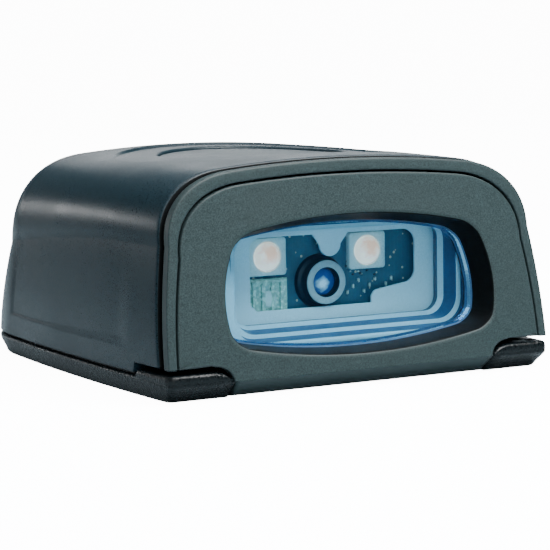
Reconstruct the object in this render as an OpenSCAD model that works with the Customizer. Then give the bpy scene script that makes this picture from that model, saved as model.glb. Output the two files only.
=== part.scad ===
// Compact fixed-mount imager: a small scanner that reads printed codes through a window in its
// leaning front face. +Z is up, the window faces -Y, and the origin is the middle of the resting face.

/* [Housing] */
// Greatest width, halfway along the bowed sides
body_w = 58.4; // [58:0.1:59]
// Depth from the foremost point of the face to the rear wall
body_d = 62; // [61.6:0.1:63]
// Height of the crown of the cover
body_h = 29.2; // [29:0.1:30]
// Wall thickness of the cover
wall = 1.8; // [1.6:0.1:1.9]
// How far the sides draw in round the rear corners, at the base
rear_r = 5.5; // [5:0.1:6]
// Height at which the cover meets the base
split_z = 3; // [2.9:0.1:3.1]
// Backward lean of the front face, millimetres per millimetre of height
lean = 0.154; // [0.14:0.002:0.16]
// Width of the shadow seam between the cover and the front frame
seam = 0.7; // [0.5:0.1:0.9]

/* [Front face] */
// Thickness of the front frame and of the front panel, along Y
face_t = 1.4; // [1.2:0.1:1.6]
// Width of the front frame's rim at the sides
rim_w = 1.3; // [1.1:0.1:1.5]
// Half width of the window opening at its widest
window_x = 19.5; // [19:0.1:20]
// Height of the lowest point of the window opening
window_low = 4.3; // [4.1:0.1:4.5]
// Height of the highest point of the window opening
window_top = 21.6; // [21.3:0.1:21.9]
// Depth of the tunnel from the face to the window pane
tunnel_d = 5.4; // [5:0.1:5.6]
// Thickness of the window pane
pane_t = 1.2; // [1:0.1:1.3]

/* [Top] */
// Radius of the round dish in the top of the cover
dish_r = 19; // [18:0.1:20]
// Depth of the dish
dish_d = 0.35; // [0.2:0.05:0.5]
// Radius of the round trigger button
button_r = 13; // [12:0.1:13.2]
// Running gap between the button and the cover
button_gap = 0.1; // [0.08:0.01:0.1]
// Travel of the trigger button
button_travel = 0.5; // [0.4:0.1:0.6]

/* [Base] */
// Thickness of the base plate
base_t = 2.7; // [2.6:0.1:2.8]
// Width of the chamfer under the sides and rear of the base plate
side_chamfer = 0.8; // [0.6:0.1:1.2]
// Width of the chamfer under the front of the base plate
front_chamfer = 2.2; // [2:0.1:2.4]
// Height of the chamfers, up to the widest line of the base
chamfer_z = 2.1; // [2:0.05:2.15]
// Height of the raised tabs at the front corners of the base
tab_z = 3.6; // [3.5:0.1:3.8]
// Distance between the two threaded mounting holes
mount_pitch = 30; // [28:1:32]
// Wall radius of a threaded mounting hole, the tapping radius of an M3 thread
mount_r = 1.25; // [1.25:0.05:1.3]
// Length of a threaded mounting hole
mount_len = 4.5; // [4:0.1:4.8]

/* [Optics] */
// Height of the camera's optical axis
lens_z = 12.1; // [12:0.1:12.3]
// Sideways place of the camera's optical axis
lens_x = 0.5; // [0.3:0.1:0.7]
// Width of a lighting LED package
led_w = 5.5; // [5.2:0.1:5.6]
// Height of a lighting LED package
led_h = 4.9; // [4.7:0.1:5]
// Height of the centres of the LED packages
led_z = 15.8; // [15.6:0.1:16]
// Width of each step of the light shroud
step_w = 0.9; // [0.8:0.05:1]
// Depth of each step of the light shroud
step_d = 2; // [1.8:0.1:2]

/* [Rear port] */
// Outer width of the interface jack
jack_w = 15.2; // [15:0.1:15.6]
// Outer height of the interface jack
jack_h = 12.6; // [12.4:0.1:13]
// Length of the interface jack
jack_len = 16; // [15:0.1:17]
// Width of the opening of the jack
port_w = 11.7; // [11.5:0.1:12]
// Height of the opening of the jack
port_h = 7.9; // [7.6:0.1:8.2]

/* [Hidden] */
eps = 0.01;
front_y = -body_d / 2;
rear_y = body_d / 2;
bow_y = 5;              // where the sides are widest
bow_k = 826;            // twice the radius of the bowed sides in plan
crown_k = 0.00306;      // fall of the crown per square millimetre across
crown_y = 8;            // where the crown is highest
crown_len_k = 4083;     // twice the radius of the crown along Y
shoulder_x = 9.5;       // width of the rounded shoulder
shoulder_z = 8.5;       // height of the rounded shoulder
shoulder_n = 2.4;       // exponent of the shoulder's curve
side_lean = 1.4;        // how far the sides draw in below the shoulder
swell_y = -15;          // behind this the shoulder grows rounder, up to the rear
swell = [0.4, 2, 4.5];  // growth of the side lean, and of the shoulder's width and height
rear_d = 12;            // depth over which the rear rounds off
rear_side = 9.5;        // how far the sides draw in round the rear corners, at the shoulder
rear_top = 8;           // how far the top comes down round the rear edge
face_z = 2.2;           // height at which the leaning face reaches furthest forward
upright_y = -10;        // behind this the sections stand upright
cover_y = front_y + face_t + seam;   // front edge of the cover
groove = 0.25;          // gap between front frame and front panel
frame_low = 4.3;        // lowest edge of the front frame, above the base's tabs
tab_back = -22;         // rear end of the raised tabs
top_gap = 0.75;         // how far the button's top lies below the crown
board_z = 7;            // top face of the main board
board_t = 1.2;
board_back = 27.6;
board_front = -1;
board_x = 24;
mount_y = 0;
toe_y = front_y + front_chamfer;     // front edge of the resting face
lug_x = 13;            // engine screws
lug_y = -9;
post_x = 21;
post_y = [4, 24];
boss_x = 22.4;
boss_y = [-13.5, 17];
key_x = 8;              // key board screws
key_y = [-14.5, 16.5];
pipe_y = 16;            // light pipe
chip_y = -17.4;         // front face of the optics board
shroud_end = chip_y - 1.6;           // rear end of the last step of the light shroud
led_x = 7.5;
key_z = 22.6;           // top face of the key board
plunger_z = key_z + 0.4 + button_travel;   // the button's plunger, just clear of the pressed dome
flange_z = 25.9;        // underside of the button's retaining flange
jack_z = board_z + eps;
jack_y = rear_y - 0.4 - jack_len;
port_z = jack_z + 5.6;  // centre of the jack's opening

// ---- Outline functions ----

function half_width(y) = body_w / 2 - pow(y - bow_y, 2) / bow_k;
function crown_z(y) = body_h - pow(y - crown_y, 2) / crown_len_k;
function lean_at(s) = lean * max(0, min(1, (upright_y - s) / (upright_y - cover_y)));
// A point (x, z) of the face stands at this y, d millimetres behind the face
function face_y(z, d = 0) = front_y + d + lean * (z - face_z);
// Lowers a flat-topped section to the crowned one
function crowned(p, top) = [p[0], p[1] - crown_k * p[0] * p[0] * (p[1] - split_z) / (top - split_z)];
// How much of its full growth the shoulder has at y
function grown(y) = pow(max(0, (y - swell_y) / (rear_y - swell_y)), 1.5);
// Right half of a cross-section, from the lower edge to the middle of the top
function half_section(w, top, low, g = 0) = let (lean_in = side_lean + g * swell[0],
    sx = shoulder_x + g * swell[1], sz = shoulder_z + g * swell[2], zs = top - sz, xs = w - lean_in)
    [for (t = [0:0.25:1]) crowned([w - lean_in * t * t, low + (zs - low) * t], top),
     for (a = [15:15:90]) crowned([xs - sx * (1 - pow(cos(a), 2 / shoulder_n)),
        zs + sz * pow(sin(a), 2 / shoulder_n)], top),
     for (f = [0.66, 0.33]) crowned([(xs - sx) * f, top], top)];
function section(w, top, low, g = 0) = let (h = half_section(w, top, low, g), n = len(h))
    concat(h, [[0, top]], [for (i = [n - 1:-1:0]) [-h[i][0], h[i][1]]]);
function arc(c, r, a0, a1, n) = [for (i = [0:n]) let (a = a0 + (a1 - a0) * i / n)
    [c[0] + r * cos(a), c[1] + r * sin(a)]];
function mirrored(half) = concat(half, [for (i = [len(half) - 1:-1:0]) [-half[i][0], half[i][1]]]);

// Pillow outline of the window, grown outward by g: a rounded rectangle with its four sides bowed
function pillow(g = 0) = let (
    r = 2.3, zc = (window_low + window_top) / 2, hz = (window_top - window_low) / 2 + g, hx = window_x + g,
    flat = concat([for (f = [0.1:0.3:1]) [(hx - r) * f, -hz]], arc([hx - r, r - hz], r, -90, 0, 5),
        [for (f = [-0.6:0.4:0.6]) [hx, (hz - r) * f]], arc([hx - r, hz - r], r, 0, 90, 5),
        [for (f = [1:-0.3:0.1]) [(hx - r) * f, hz]]))
    mirrored([for (p = flat) [p[0] * (1 - pow(zc + p[1] - 11, 2) / (50 * hx)),
        zc + p[1] * (1 - p[0] * p[0] / (185 * hz))]]);
// Rectangle with round corners, centred at (x, z)
function round_rect(x, z, w, h, r) = concat(
    arc([x + w / 2 - r, z + h / 2 - r], r, 0, 90, 6), arc([x - w / 2 + r, z + h / 2 - r], r, 90, 180, 6),
    arc([x - w / 2 + r, z - h / 2 + r], r, 180, 270, 6), arc([x + w / 2 - r, z - h / 2 + r], r, 270, 360, 6));
// Plan of the housing, drawn in by g, with its front edge at y = f
function plan(g, f) = let (w = half_width(rear_y - rear_d) - g)
    mirrored(concat([[half_width(f) - 0.8 - g, f], [half_width(f) - g, f + 0.8]],
        [for (y = [-18:6:12]) [half_width(y) - g, y]],
        [for (a = [0:10:90]) [w - rear_r * (1 - cos(a)), rear_y - rear_d + (rear_d - g) * sin(a)]]));

// ---- Building blocks ----

// Faces that close a ring of n points whose halves mirror each other, counted from point k
function cap(n, k) = [for (j = [0:floor(n / 2) - 1]) let (o = n - 1 - j)
    each concat(j + 1 < o ? [[k + j, k + j + 1, k + o]] : [],
        j + 2 < o ? [[k + j + 1, k + o - 1, k + o]] : [])];
function flipped(faces) = [for (f = faces) [f[2], f[1], f[0]]];

// Closed solid through mirrored rings of points that all have the same count
module skin(rings) {
    n = len(rings[0]);
    m = len(rings);
    polyhedron([for (r = rings) each r], concat(cap(n, 0),
        [for (i = [0:m - 2], j = [0:n - 1]) let (a = i * n + j, b = i * n + (j + 1) % n)
            each [[a, a + n, b], [b, a + n, b + n]]],
        flipped(cap(n, (m - 1) * n))));
}

// Plate that lies parallel to the leaning face, from depth d0 to d1 behind it
module leaning_plate(front, back, d0, d1) {
    skin([[for (p = back) [p[0], face_y(p[1], d1), p[1]]], [for (p = front) [p[0], face_y(p[1], d0), p[1]]]]);
}

// Upright plate that starts at y and is t thick
module upright_plate(outline, y, t) {
    translate([0, y + t, 0]) rotate([90, 0, 0]) linear_extrude(t) polygon(outline);
}

// Cylinder along +Y from y
module along_y(x, y, z, r, len) {
    translate([x, y, z]) rotate([-90, 0, 0]) cylinder(r = r, h = len, $fn = 48);
}

// Shell of the cover between two depths below its outer skin, open underneath and in front
module cover_shell(out, in) {
    stations = [[cover_y, 0.5], [cover_y + 0.5, 0.1], [cover_y + 1.2, 0], [-24, 0], [-17, 0], [-9, 0],
        [1, 0], [10, 0], [rear_y - rear_d, 0]];
    rounds = [15, 30, 45, 60, 75, 90];
    function row(s, inset, skin_d) = [for (p = section(half_width(s) - inset - skin_d,
        crown_z(s) - inset - skin_d, split_z, grown(s))) [p[0], s + lean_at(s) * (p[1] - face_z), p[1]]];
    function rear_row(a, skin_d) = let (s = rear_y - rear_d, k = 1 - cos(a), w = half_width(s) - skin_d,
        top = crown_z(s) - skin_d - (rear_top - skin_d) * k)
        [for (p = section(w, top, split_z, grown(s)))
            let (reach = rear_r + (rear_side - rear_r) * min(1, (p[1] - split_z) / 15) - skin_d)
            [p[0] * (1 - reach * k / w), s + (rear_d - skin_d) * sin(a), p[1]]];
    outer = concat([for (s = stations) row(s[0], s[1], out)], [for (a = rounds) rear_row(a, out)]);
    inner = concat([for (s = stations) row(s[0], 0, in)], [for (a = rounds) rear_row(a, in)]);
    m = len(outer);
    n = len(outer[0]);
    base = m * n;
    polyhedron(concat([for (r = outer) each r], [for (r = inner) each r]), concat(
        [for (i = [0:m - 2], j = [0:n - 2]) let (a = i * n + j)
            each [[a, a + 1, a + n], [a + 1, a + n + 1, a + n]]],
        [for (i = [0:m - 2], j = [0:n - 2]) let (a = base + i * n + j)
            each [[a, a + n, a + 1], [a + 1, a + n, a + n + 1]]],
        [for (j = [0:n - 2]) each [[j, base + j, j + 1], [j + 1, base + j, base + j + 1]]],
        [for (i = [0:m - 2]) let (a = i * n, b = a + n) each [[a, b, base + a], [b, base + b, base + a]]],
        [for (i = [0:m - 2]) let (a = i * n + n - 1, b = a + n)
            each [[a, base + a, b], [b, base + a, base + b]]],
        cap(n, (m - 1) * n), flipped(cap(n, base + (m - 1) * n)),
        [[(m - 1) * n, (m - 1) * n + n - 1, base + (m - 1) * n + n - 1, base + (m - 1) * n]]));
}

// Outline between the ends of an arched section, with its two legs cut off level at low
function legs_at(s, low) = concat([[s[0][0], low]], [for (i = [1:len(s) - 2]) s[i]],
    [[s[len(s) - 1][0], low]]);
// Outline of the front frame, drawn in by g
function arch(g, low) = legs_at(section(half_width(front_y + face_t) - g, crown_z(cover_y) - 0.1 - g,
    split_z), low);
// Outline of the front panel's place in the frame, drawn in by g
function panel_outline(g, low) = legs_at(section(half_width(front_y) - rim_w - g,
    crown_z(cover_y) - 1.8 - g, split_z), low);

// Screw with a pan head below and a shank upward
module screw_up(x, y, z, head_r, head_h, r, len) {
    translate([x, y, z]) difference() {
        union() {
            cylinder(r = head_r, h = head_h, $fn = 32);
            cylinder(r = r, h = head_h + len, $fn = 32);
        }
        translate([0, 0, -eps]) cylinder(r = r * 0.8, h = head_h * 0.6, $fn = 6);
    }
}

// ---- Sub-parts ----

module top_cover() {
    color([0.19, 0.23, 0.26]) {
        difference() {
            cover_shell(0, wall);
            translate([0, 0, body_h - 6]) cylinder(r = dish_r, h = 8, $fn = 96);
            cube_at(0, rear_y - 1, jack_z + jack_h / 2, jack_w + 0.4, 6, jack_h + 0.4);
            front_relief();
        }
        difference() {
            intersection() {
                cover_shell(dish_d, wall);
                translate([0, 0, body_h - 6]) cylinder(r = dish_r + eps, h = 8, $fn = 96);
            }
            translate([0, 0, body_h - 8]) cylinder(r = button_r + button_gap, h = 10, $fn = 96);
            translate([0, pipe_y, body_h - 8]) cylinder(r = 1.1, h = 10, $fn = 32);
        }
        for (x = [-boss_x, boss_x], y = boss_y) difference() {
            translate([x, y, split_z]) cylinder(r = 2.3, h = 20.5, $fn = 32);
            translate([x, y, split_z - eps]) cylinder(r = 0.8, h = 8, $fn = 32);
        }
        for (x = [-key_x, key_x], y = key_y) difference() {
            translate([x, y, key_z]) cylinder(r = 1.7, h = 4.8, $fn = 32);
            translate([x, y, key_z - eps]) cylinder(r = 0.7, h = 3, $fn = 32);
        }
    }
}

// Solid cut away where the base's raised tabs pass under the cover
module front_relief() {
    translate([-body_w, front_y - 2, 0]) cube([2 * body_w, tab_back - front_y + 2.3, frame_low]);
}

// Block centred at (x, y, z)
module cube_at(x, y, z, w, d, h) {
    translate([x, y, z]) cube([w, d, h], center = true);
}

module front_frame() {
    color([0.3, 0.35, 0.36]) difference() {
        union() {
            leaning_plate(arch(0.25, frame_low), arch(0, frame_low), 0, 0.3);
            leaning_plate(arch(0, frame_low), arch(0.1, frame_low), 0.3, face_t);
            leaning_plate(arch(0.8, frame_low), arch(0.8, frame_low), face_t - eps, face_t + seam - 0.05);
            leaning_plate(arch(wall + 0.1, frame_low), arch(wall + 0.1, frame_low),
                face_t, face_t + seam + 2);
        }
        leaning_plate(panel_outline(0, 0), panel_outline(0, 0), -1, face_t);
        leaning_plate(arch(3.4, 0), arch(3.4, 0), -1, face_t + seam + 3);
    }
}

// The panel's foot turns under the housing in a chamfer between the two corner tabs
module front_panel() {
    foot = [[front_y, face_z + 0.1], [front_y, face_z], [toe_y, 0.1], [toe_y + 0.7, 0.1],
        [toe_y + 0.7, 1], [front_y + face_t, face_z + 0.4]];
    color([0.3, 0.35, 0.36]) difference() {
        union() {
            translate([-20, 0, 0]) rotate([90, 0, 90]) linear_extrude(40) polygon(foot);
            leaning_plate(panel_outline(groove, face_z), panel_outline(groove, face_z), 0, face_t - 0.05);
            leaning_plate(pillow(1.2), pillow(1.2), face_t - 0.1, tunnel_d - 0.1);
        }
        leaning_plate(pillow(0), pillow(-1), -eps, tunnel_d + eps);
        for (side = [-1, 1]) upright_plate(tab_notch(side, 0), front_y - 1, 6);
    }
}

// Outline, seen from the front, of the room that the front panel leaves for one corner tab
function tab_notch(side, g) = [for (p = [[18.5 + g, -1], [18.9 + g, 2.2 - g], [20.1 + g, 3 - g],
    [21.4 + g, frame_low - 2.4 * g], [31, frame_low - 2.4 * g], [31, -1]]) [side * p[0], p[1]]];

module base_plate() {
    color([0.12, 0.14, 0.15]) difference() {
        union() {
            skin([[for (p = plan(side_chamfer, front_y + front_chamfer)) [p[0], p[1], 0]],
                [for (p = plan(0, front_y + 0.1)) [p[0], p[1], chamfer_z]],
                [for (p = plan(0, front_y + 0.1)) [p[0], p[1], base_t - 0.3]],
                [for (p = plan(0.25, front_y + 0.2)) [p[0], p[1], base_t]]]);
            for (side = [-1, 1]) corner_tab(side);
            translate([0, 0, base_t - eps]) linear_extrude(1.8) difference() {
                polygon(plan(wall + 0.5, tab_back + 1.8));
                polygon(plan(wall + 1.7, tab_back + 3));
            }
            for (x = [-post_x, post_x], y = post_y)
                translate([x, y, 1]) cylinder(r = 2.2, h = board_z - board_t - 1, $fn = 32);
            for (x = [-mount_pitch / 2, mount_pitch / 2])
                translate([x, mount_y, 1]) cylinder(r = 3.4, h = mount_len - 0.2, $fn = 48);
            for (x = [-lug_x, lug_x]) cube_at(x, lug_y, 3.2, 6, 6, 2.4);
        }
        upright_plate([[-18.65, -1], [18.65, -1], [19.05, 2.05], [20.25, 2.85], [22, 9], [-22, 9],
            [-20.25, 2.85], [-19.05, 2.05]], front_y - 1, front_chamfer + 1.9);
        for (x = [-boss_x, boss_x], y = boss_y) translate([x, y, -eps]) {
            cylinder(r = 1.15, h = 8, $fn = 32);
            cylinder(r = 2.15, h = 1.52, $fn = 32);
        }
        for (x = [-boss_x, boss_x], y = boss_y) translate([x, y, base_t]) cylinder(r = 2.6, h = 6, $fn = 32);
        for (x = [-post_x, post_x], y = post_y) translate([x, y, 2]) cylinder(r = 0.8, h = 8, $fn = 32);
        for (x = [-mount_pitch / 2, mount_pitch / 2])
            translate([x, mount_y, -eps]) cylinder(r = 2.3, h = mount_len, $fn = 48);
        for (x = [-lug_x, lug_x]) translate([x, lug_y, 1.4]) cylinder(r = 0.8, h = 4, $fn = 32);
        cube_at(0, 16, 0, 24, 12, 0.6);
    }
}

// Raised corner of the base, in the notch of the front panel and under the side of the cover
module corner_tab(side) {
    intersection() {
        translate([0, 0, chamfer_z]) linear_extrude(tab_z - chamfer_z) polygon(plan(0.05, front_y + 0.12));
        union() {
            upright_plate(tab_notch(side, 0.15), front_y - 1, 4);
            translate([side > 0 ? 25.6 : -35.6, front_y, 0]) cube([10, tab_back - front_y, tab_z]);
        }
    }
}

module base_seal() {
    color([0.08, 0.09, 0.09]) translate([0, 0, base_t + eps])
        linear_extrude(split_z - base_t - 2 * eps) difference() {
            polygon(plan(0.5, tab_back + 0.4));
            polygon(plan(wall + 0.4, tab_back + 1.6));
        }
}

module exit_window() {
    color([0.45, 0.65, 0.75, 0.5])
        leaning_plate(pillow(-1.05), pillow(-1.05), tunnel_d - pane_t - 0.1, tunnel_d - 0.1);
}

module window_gasket() {
    color([0.06, 0.06, 0.07]) difference() {
        leaning_plate(pillow(0.9), pillow(0.9), tunnel_d - 0.1, tunnel_d + 0.7);
        leaning_plate(pillow(-1.9), pillow(-1.9), tunnel_d - 0.2, tunnel_d + 0.8);
    }
}

// Outline inside step k of the light shroud: k = 0 is the widest, behind the window
function shroud_in(k, grow = 0) = round_rect(0.3, lens_z + 0.75, 37.4 - 2 * step_w * k + 2 * grow,
    15.4 - 2 * step_w * k + 2 * grow, 3 + grow);

module light_shroud() {
    color([0.5, 0.62, 0.68]) difference() {
        for (k = [0:2]) difference() {
            from_y = k == 0 ? -27 : shroud_end - (3 - k) * step_d;
            to_y = shroud_end - (2 - k) * step_d + (k < 2 ? 0.6 : 0);
            upright_plate(shroud_in(k, step_w + 0.05), from_y, to_y - from_y);
            upright_plate(shroud_in(k), from_y - 1, to_y - from_y + 2);
        }
        leaning_plate([[25, 0], [25, 25], [-25, 25], [-25, 0]], [[25, 0], [25, 25], [-25, 25], [-25, 0]],
            -3, tunnel_d + 0.75);
    }
}

// Outline of the opening in the mask: wide over the two LEDs, with a tongue above the lens
function mask_opening() = concat(arc([-8.9, 16.9], 1.5, 180, 90, 4), [[-1.1, 18.4]],
    arc([1.5, 17], 1.6, 180, 360, 8), [[4.2, 18.4]], arc([12.7, 16.6], 1.8, 90, 0, 5),
    arc([12.7, 13], 1.8, 0, -90, 5), arc([8.9, 9.4], 1.2, 90, 180, 3),
    [[7.7, 8.85], [-9.4, 8.85], [-10.4, 9.8]]);

module optics_mask() {
    color([0.62, 0.74, 0.8]) difference() {
        upright_plate(round_rect(0, 13.8, 35, 12.1, 1.5), chip_y - 1.5, 0.4);
        upright_plate(mask_opening(), chip_y - 2, 2);
    }
}

module optics_board() {
    color([0.1, 0.35, 0.25]) difference() {
        upright_plate(round_rect(0, lens_z + 0.8, 33, 14.5, 0.8), chip_y, 1);
        along_y(lens_x, chip_y - 1, lens_z, 3.6, 3);
        for (x = [-15, 15]) along_y(x, chip_y - 1, 7.6, 0.7, 3);
    }
}

module optics_chips() {
    color([0.85, 0.86, 0.84]) {
        for (i = [0:6]) cube_at(5.2 + i * 1.15, chip_y - 0.25, 10.4 + (i % 2) * 1.3, 0.5, 0.5 - eps, 0.9);
        for (i = [0:4]) cube_at(4.8 + i * 1.5, chip_y - 0.2, 19.2, 0.9, 0.4 - eps, 0.5);
        cube_at(-12.8, chip_y - 0.4, 11, 2.4, 0.8 - eps, 2.4);
    }
}

module led_package(x) {
    color([0.95, 0.95, 0.92]) difference() {
        upright_plate(round_rect(x, led_z, led_w, led_h, 0.4), chip_y - 0.9, 0.9);
        along_y(x, chip_y - 1, led_z, 1.95, 0.6);
    }
}
module led_lens(x) {
    color([1, 0.85, 0.8]) translate([x, chip_y - 0.5, led_z]) rotate([90, 0, 0]) rotate_extrude($fn = 48)
        polygon(concat([[0, 0], [1.9, 0]], [for (a = [0:15:90]) [1.9 * cos(a), 0.3 + 1.3 * sin(a)]]));
}
module led_package_left() { led_package(-led_x); }
module led_package_right() { led_package(led_x); }
module led_lens_left() { led_lens(-led_x); }
module led_lens_right() { led_lens(led_x); }

module lens_barrel() {
    color([0.3, 0.33, 0.36]) difference() {
        union() {
            along_y(lens_x, chip_y - 2.2, lens_z, 2.9, 6.4);
            along_y(lens_x, chip_y - 0.6, lens_z, 3.5, 4.8);
        }
        along_y(lens_x, chip_y - 2.3, lens_z, 1.75, 4);
        along_y(lens_x, chip_y + 1, lens_z, 1.3, 4);
    }
}

module camera_lens() {
    color([0.25, 0.4, 0.75]) translate([lens_x, chip_y - 1.2, lens_z]) rotate([-90, 0, 0])
        rotate_extrude($fn = 48) polygon(concat([[0, 1.6], [0, -0.35]],
            [for (r = [0.5:0.4:1.7]) [r, -0.35 * (1 - r * r / 3.06)]], [[1.75, 0], [1.75, 1.6]]));
}

module image_sensor() {
    color([0.2, 0.2, 0.25]) {
        cube_at(lens_x, chip_y + 5.05, lens_z, 8, 1.6 - 2 * eps, 7);
        cube_at(lens_x, chip_y + 6.35, lens_z, 12, 1, 10);
    }
}

module aiming_module() {
    color([0.55, 0.75, 0.7]) difference() {
        upright_plate(round_rect(-7.3, 10.35, 5.6, 5.2, 0.5), chip_y - 1, 1);
        along_y(-7.3, chip_y - 1.1, 10.3, 1.3, 0.7);
    }
}

module aiming_lens() {
    color([0.8, 0.9, 0.9]) translate([-7.3, chip_y - 0.4, 10.3]) rotate([90, 0, 0]) rotate_extrude($fn = 32)
        polygon(concat([[0, 0], [1.25, 0]], [for (a = [0:18:90]) [1.25 * cos(a), 0.2 + 0.5 * sin(a)]]));
}

module engine_chassis() {
    color([0.62, 0.63, 0.64]) difference() {
        union() {
            upright_plate(round_rect(0, 12.8, 35, 15.4, 1), chip_y + 1, 1.2);
            for (x = [-16.6, 16.6]) cube_at(x, chip_y + 5.2, 12.6, 1.6, 6.2, 14.6);
            for (x = [-14, 14]) cube_at(x, chip_y + 7.2, 5.3, 6.8, 7.4, 1.8);
        }
        along_y(lens_x, chip_y - 1, lens_z, 3.7, 8);
        for (x = [-lug_x, lug_x]) translate([x, lug_y, 3]) cylinder(r = 1.1, h = 4, $fn = 32);
    }
}

module engine_screws() {
    color([0.75, 0.75, 0.76]) for (x = [-lug_x, lug_x])
        translate([x, lug_y, 7.3]) mirror([0, 0, 1]) screw_up(0, 0, 0, 1.9, 1.1, 0.8 - eps, 4.4);
}

// Flat ribbon that runs in a low arch from the sensor's board back to the main board
module flex_cable() {
    from_y = chip_y + 6.85;
    run = 3 - from_y;
    top = [for (t = [0:1 / 16:1]) [from_y + run * t, 9.5 - 1.6 * t + 2.2 * sin(180 * t)]];
    color([0.75, 0.5, 0.2]) translate([-4, 0, 0]) rotate([90, 0, 90]) linear_extrude(8)
        polygon(concat(top, [for (i = [len(top) - 1:-1:0]) [top[i][0], top[i][1] - 0.2]]));
}

module main_board() {
    color([0.08, 0.32, 0.22]) difference() {
        translate([-board_x, board_front, board_z - board_t])
            cube([2 * board_x, board_back - board_front, board_t]);
        for (x = [-post_x, post_x], y = post_y) translate([x, y, 0]) cylinder(r = 1.1, h = 10, $fn = 32);
        for (x = [-boss_x, boss_x]) translate([x, boss_y[1], 0]) cylinder(r = 2.7, h = 10, $fn = 32);
    }
}

module decoder_chip() {
    color([0.12, 0.12, 0.13]) cube_at(-11, 6, board_z + 0.7, 11, 11, 1.4 - 2 * eps);
}

module memory_chips() {
    color([0.14, 0.14, 0.15]) for (y = [2.5, 8.5]) cube_at(10.5, y, board_z + 0.5, 8, 4.6, 1 - 2 * eps);
}

module shield_can() {
    color([0.78, 0.79, 0.8]) difference() {
        cube_at(-15.6, 20.5, board_z + 1.1, 6.4, 8, 2.2 - 2 * eps);
        cube_at(-15.6, 20.5, board_z + 0.9, 5.8, 7.4, 2.2);
    }
}

module board_parts() {
    color([0.7, 0.62, 0.5]) {
        for (i = [0:5]) cube_at(-20 + i * 2, 13, board_z + 0.35, 1, 0.6, 0.7 - 2 * eps);
        for (i = [0:4]) cube_at(12 + i * 2, 13, board_z + 0.35, 1, 0.6, 0.7 - 2 * eps);
        cube_at(0, 3.8, board_z + 0.7, 9.6, 1.6, 1.2);
    }
}

module beeper() {
    color([0.1, 0.1, 0.1]) difference() {
        translate([15.2, 20.5, board_z + eps]) cylinder(r = 4.2, h = 4.2, $fn = 48);
        translate([15.2, 20.5, board_z + 3.4]) cylinder(r = 0.8, h = 2, $fn = 32);
    }
}

module board_screws() {
    color([0.75, 0.75, 0.76]) for (x = [-post_x, post_x], y = post_y)
        translate([x, y, board_z + 1.2]) mirror([0, 0, 1]) screw_up(0, 0, 0, 1.9, 1.2, 0.8 - eps, 4);
}

module cover_screws() {
    color([0.2, 0.2, 0.21]) for (x = [-boss_x, boss_x], y = boss_y)
        screw_up(x, y, 0.2, 2, 1.3, 0.8 - eps, 8.5);
}

module mount_inserts() {
    color([0.8, 0.65, 0.3]) for (x = [-mount_pitch / 2, mount_pitch / 2])
        translate([x, mount_y, 0]) difference() {
            cylinder(r = 2.3 - eps, h = mount_len - 2 * eps, $fn = 48);
            translate([0, 0, -eps]) cylinder(r = mount_r, h = mount_len + 1, $fn = 48);
        }
}

module interface_jack() {
    color([0.1, 0.1, 0.11]) difference() {
        translate([-jack_w / 2, jack_y, jack_z]) cube([jack_w, jack_len, jack_h]);
        translate([-port_w / 2, jack_y + 1.5, port_z - port_h / 2]) cube([port_w, jack_len, port_h]);
        translate([-3, jack_y + 3, port_z + port_h / 2 - eps]) cube([6, jack_len, 1.8]);
    }
}

// Ten sprung contacts that stand up from the floor of the jack's opening
module jack_contacts() {
    pitch = 1.02;
    side = [[0, eps], [9.5, eps], [10, 0.3], [3, 2.6], [2.6, 2.4], [8.8, 0.4], [0, 0.4]];
    color([0.85, 0.7, 0.35]) for (i = [-4.5:4.5])
        translate([i * pitch - 0.2, jack_y + 1.5, port_z - port_h / 2])
            rotate([90, 0, 90]) linear_extrude(0.4) polygon(side);
}

module trigger_button() {
    color([0.16, 0.2, 0.23]) {
        intersection() {
            cover_shell(top_gap, top_gap + 1.3);
            translate([0, 0, body_h - 6]) cylinder(r = button_r, h = 8, $fn = 96);
        }
        difference() {
            translate([0, 0, flange_z]) cylinder(r = button_r - 0.4, h = 1.4, $fn = 96);
            translate([0, 0, flange_z - eps]) cylinder(r = button_r - 1.6, h = 2, $fn = 96);
        }
        translate([0, 0, flange_z]) difference() {
            cylinder(r = button_r + 0.9, h = 0.6, $fn = 96);
            translate([0, 0, -1]) cylinder(r = button_r - 1.6, h = 3, $fn = 96);
        }
        translate([0, 0, plunger_z]) cylinder(r = 1.5, h = body_h - 1.9 - plunger_z, $fn = 32);
    }
}

module key_board() {
    color([0.1, 0.35, 0.25]) difference() {
        translate([0, 1, key_z - 0.8]) linear_extrude(0.8 - eps) polygon(round_rect(0, 0, 20, 36, 2));
        for (x = [-key_x, key_x], y = key_y) translate([x, y, 10]) cylinder(r = 0.9, h = 20, $fn = 32);
    }
}

module key_dome() {
    color([0.8, 0.8, 0.78]) translate([0, 0, key_z + eps]) rotate_extrude($fn = 48)
        polygon([[0, 0.35], [1.6, 0.2], [2.4, 0], [0, 0]]);
}

module key_screws() {
    color([0.75, 0.75, 0.76]) for (x = [-key_x, key_x], y = key_y)
        screw_up(x, y, key_z - 1.7 - eps, 1.4, 0.9, 0.7 - eps, 3.3);
}

module status_led() {
    color([0.8, 1, 0.8]) cube_at(0, pipe_y, key_z + 0.35, 1.6, 1, 0.7 - 2 * eps);
}

module light_pipe() {
    color([0.85, 0.9, 0.9]) translate([0, pipe_y, key_z + 0.9]) {
        cylinder(r = 1.1 - eps, h = body_h - dish_d - 0.4 - key_z - 0.9, $fn = 32);
        cylinder(r = 1.6, h = 3.2, $fn = 32);
    }
}

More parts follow.
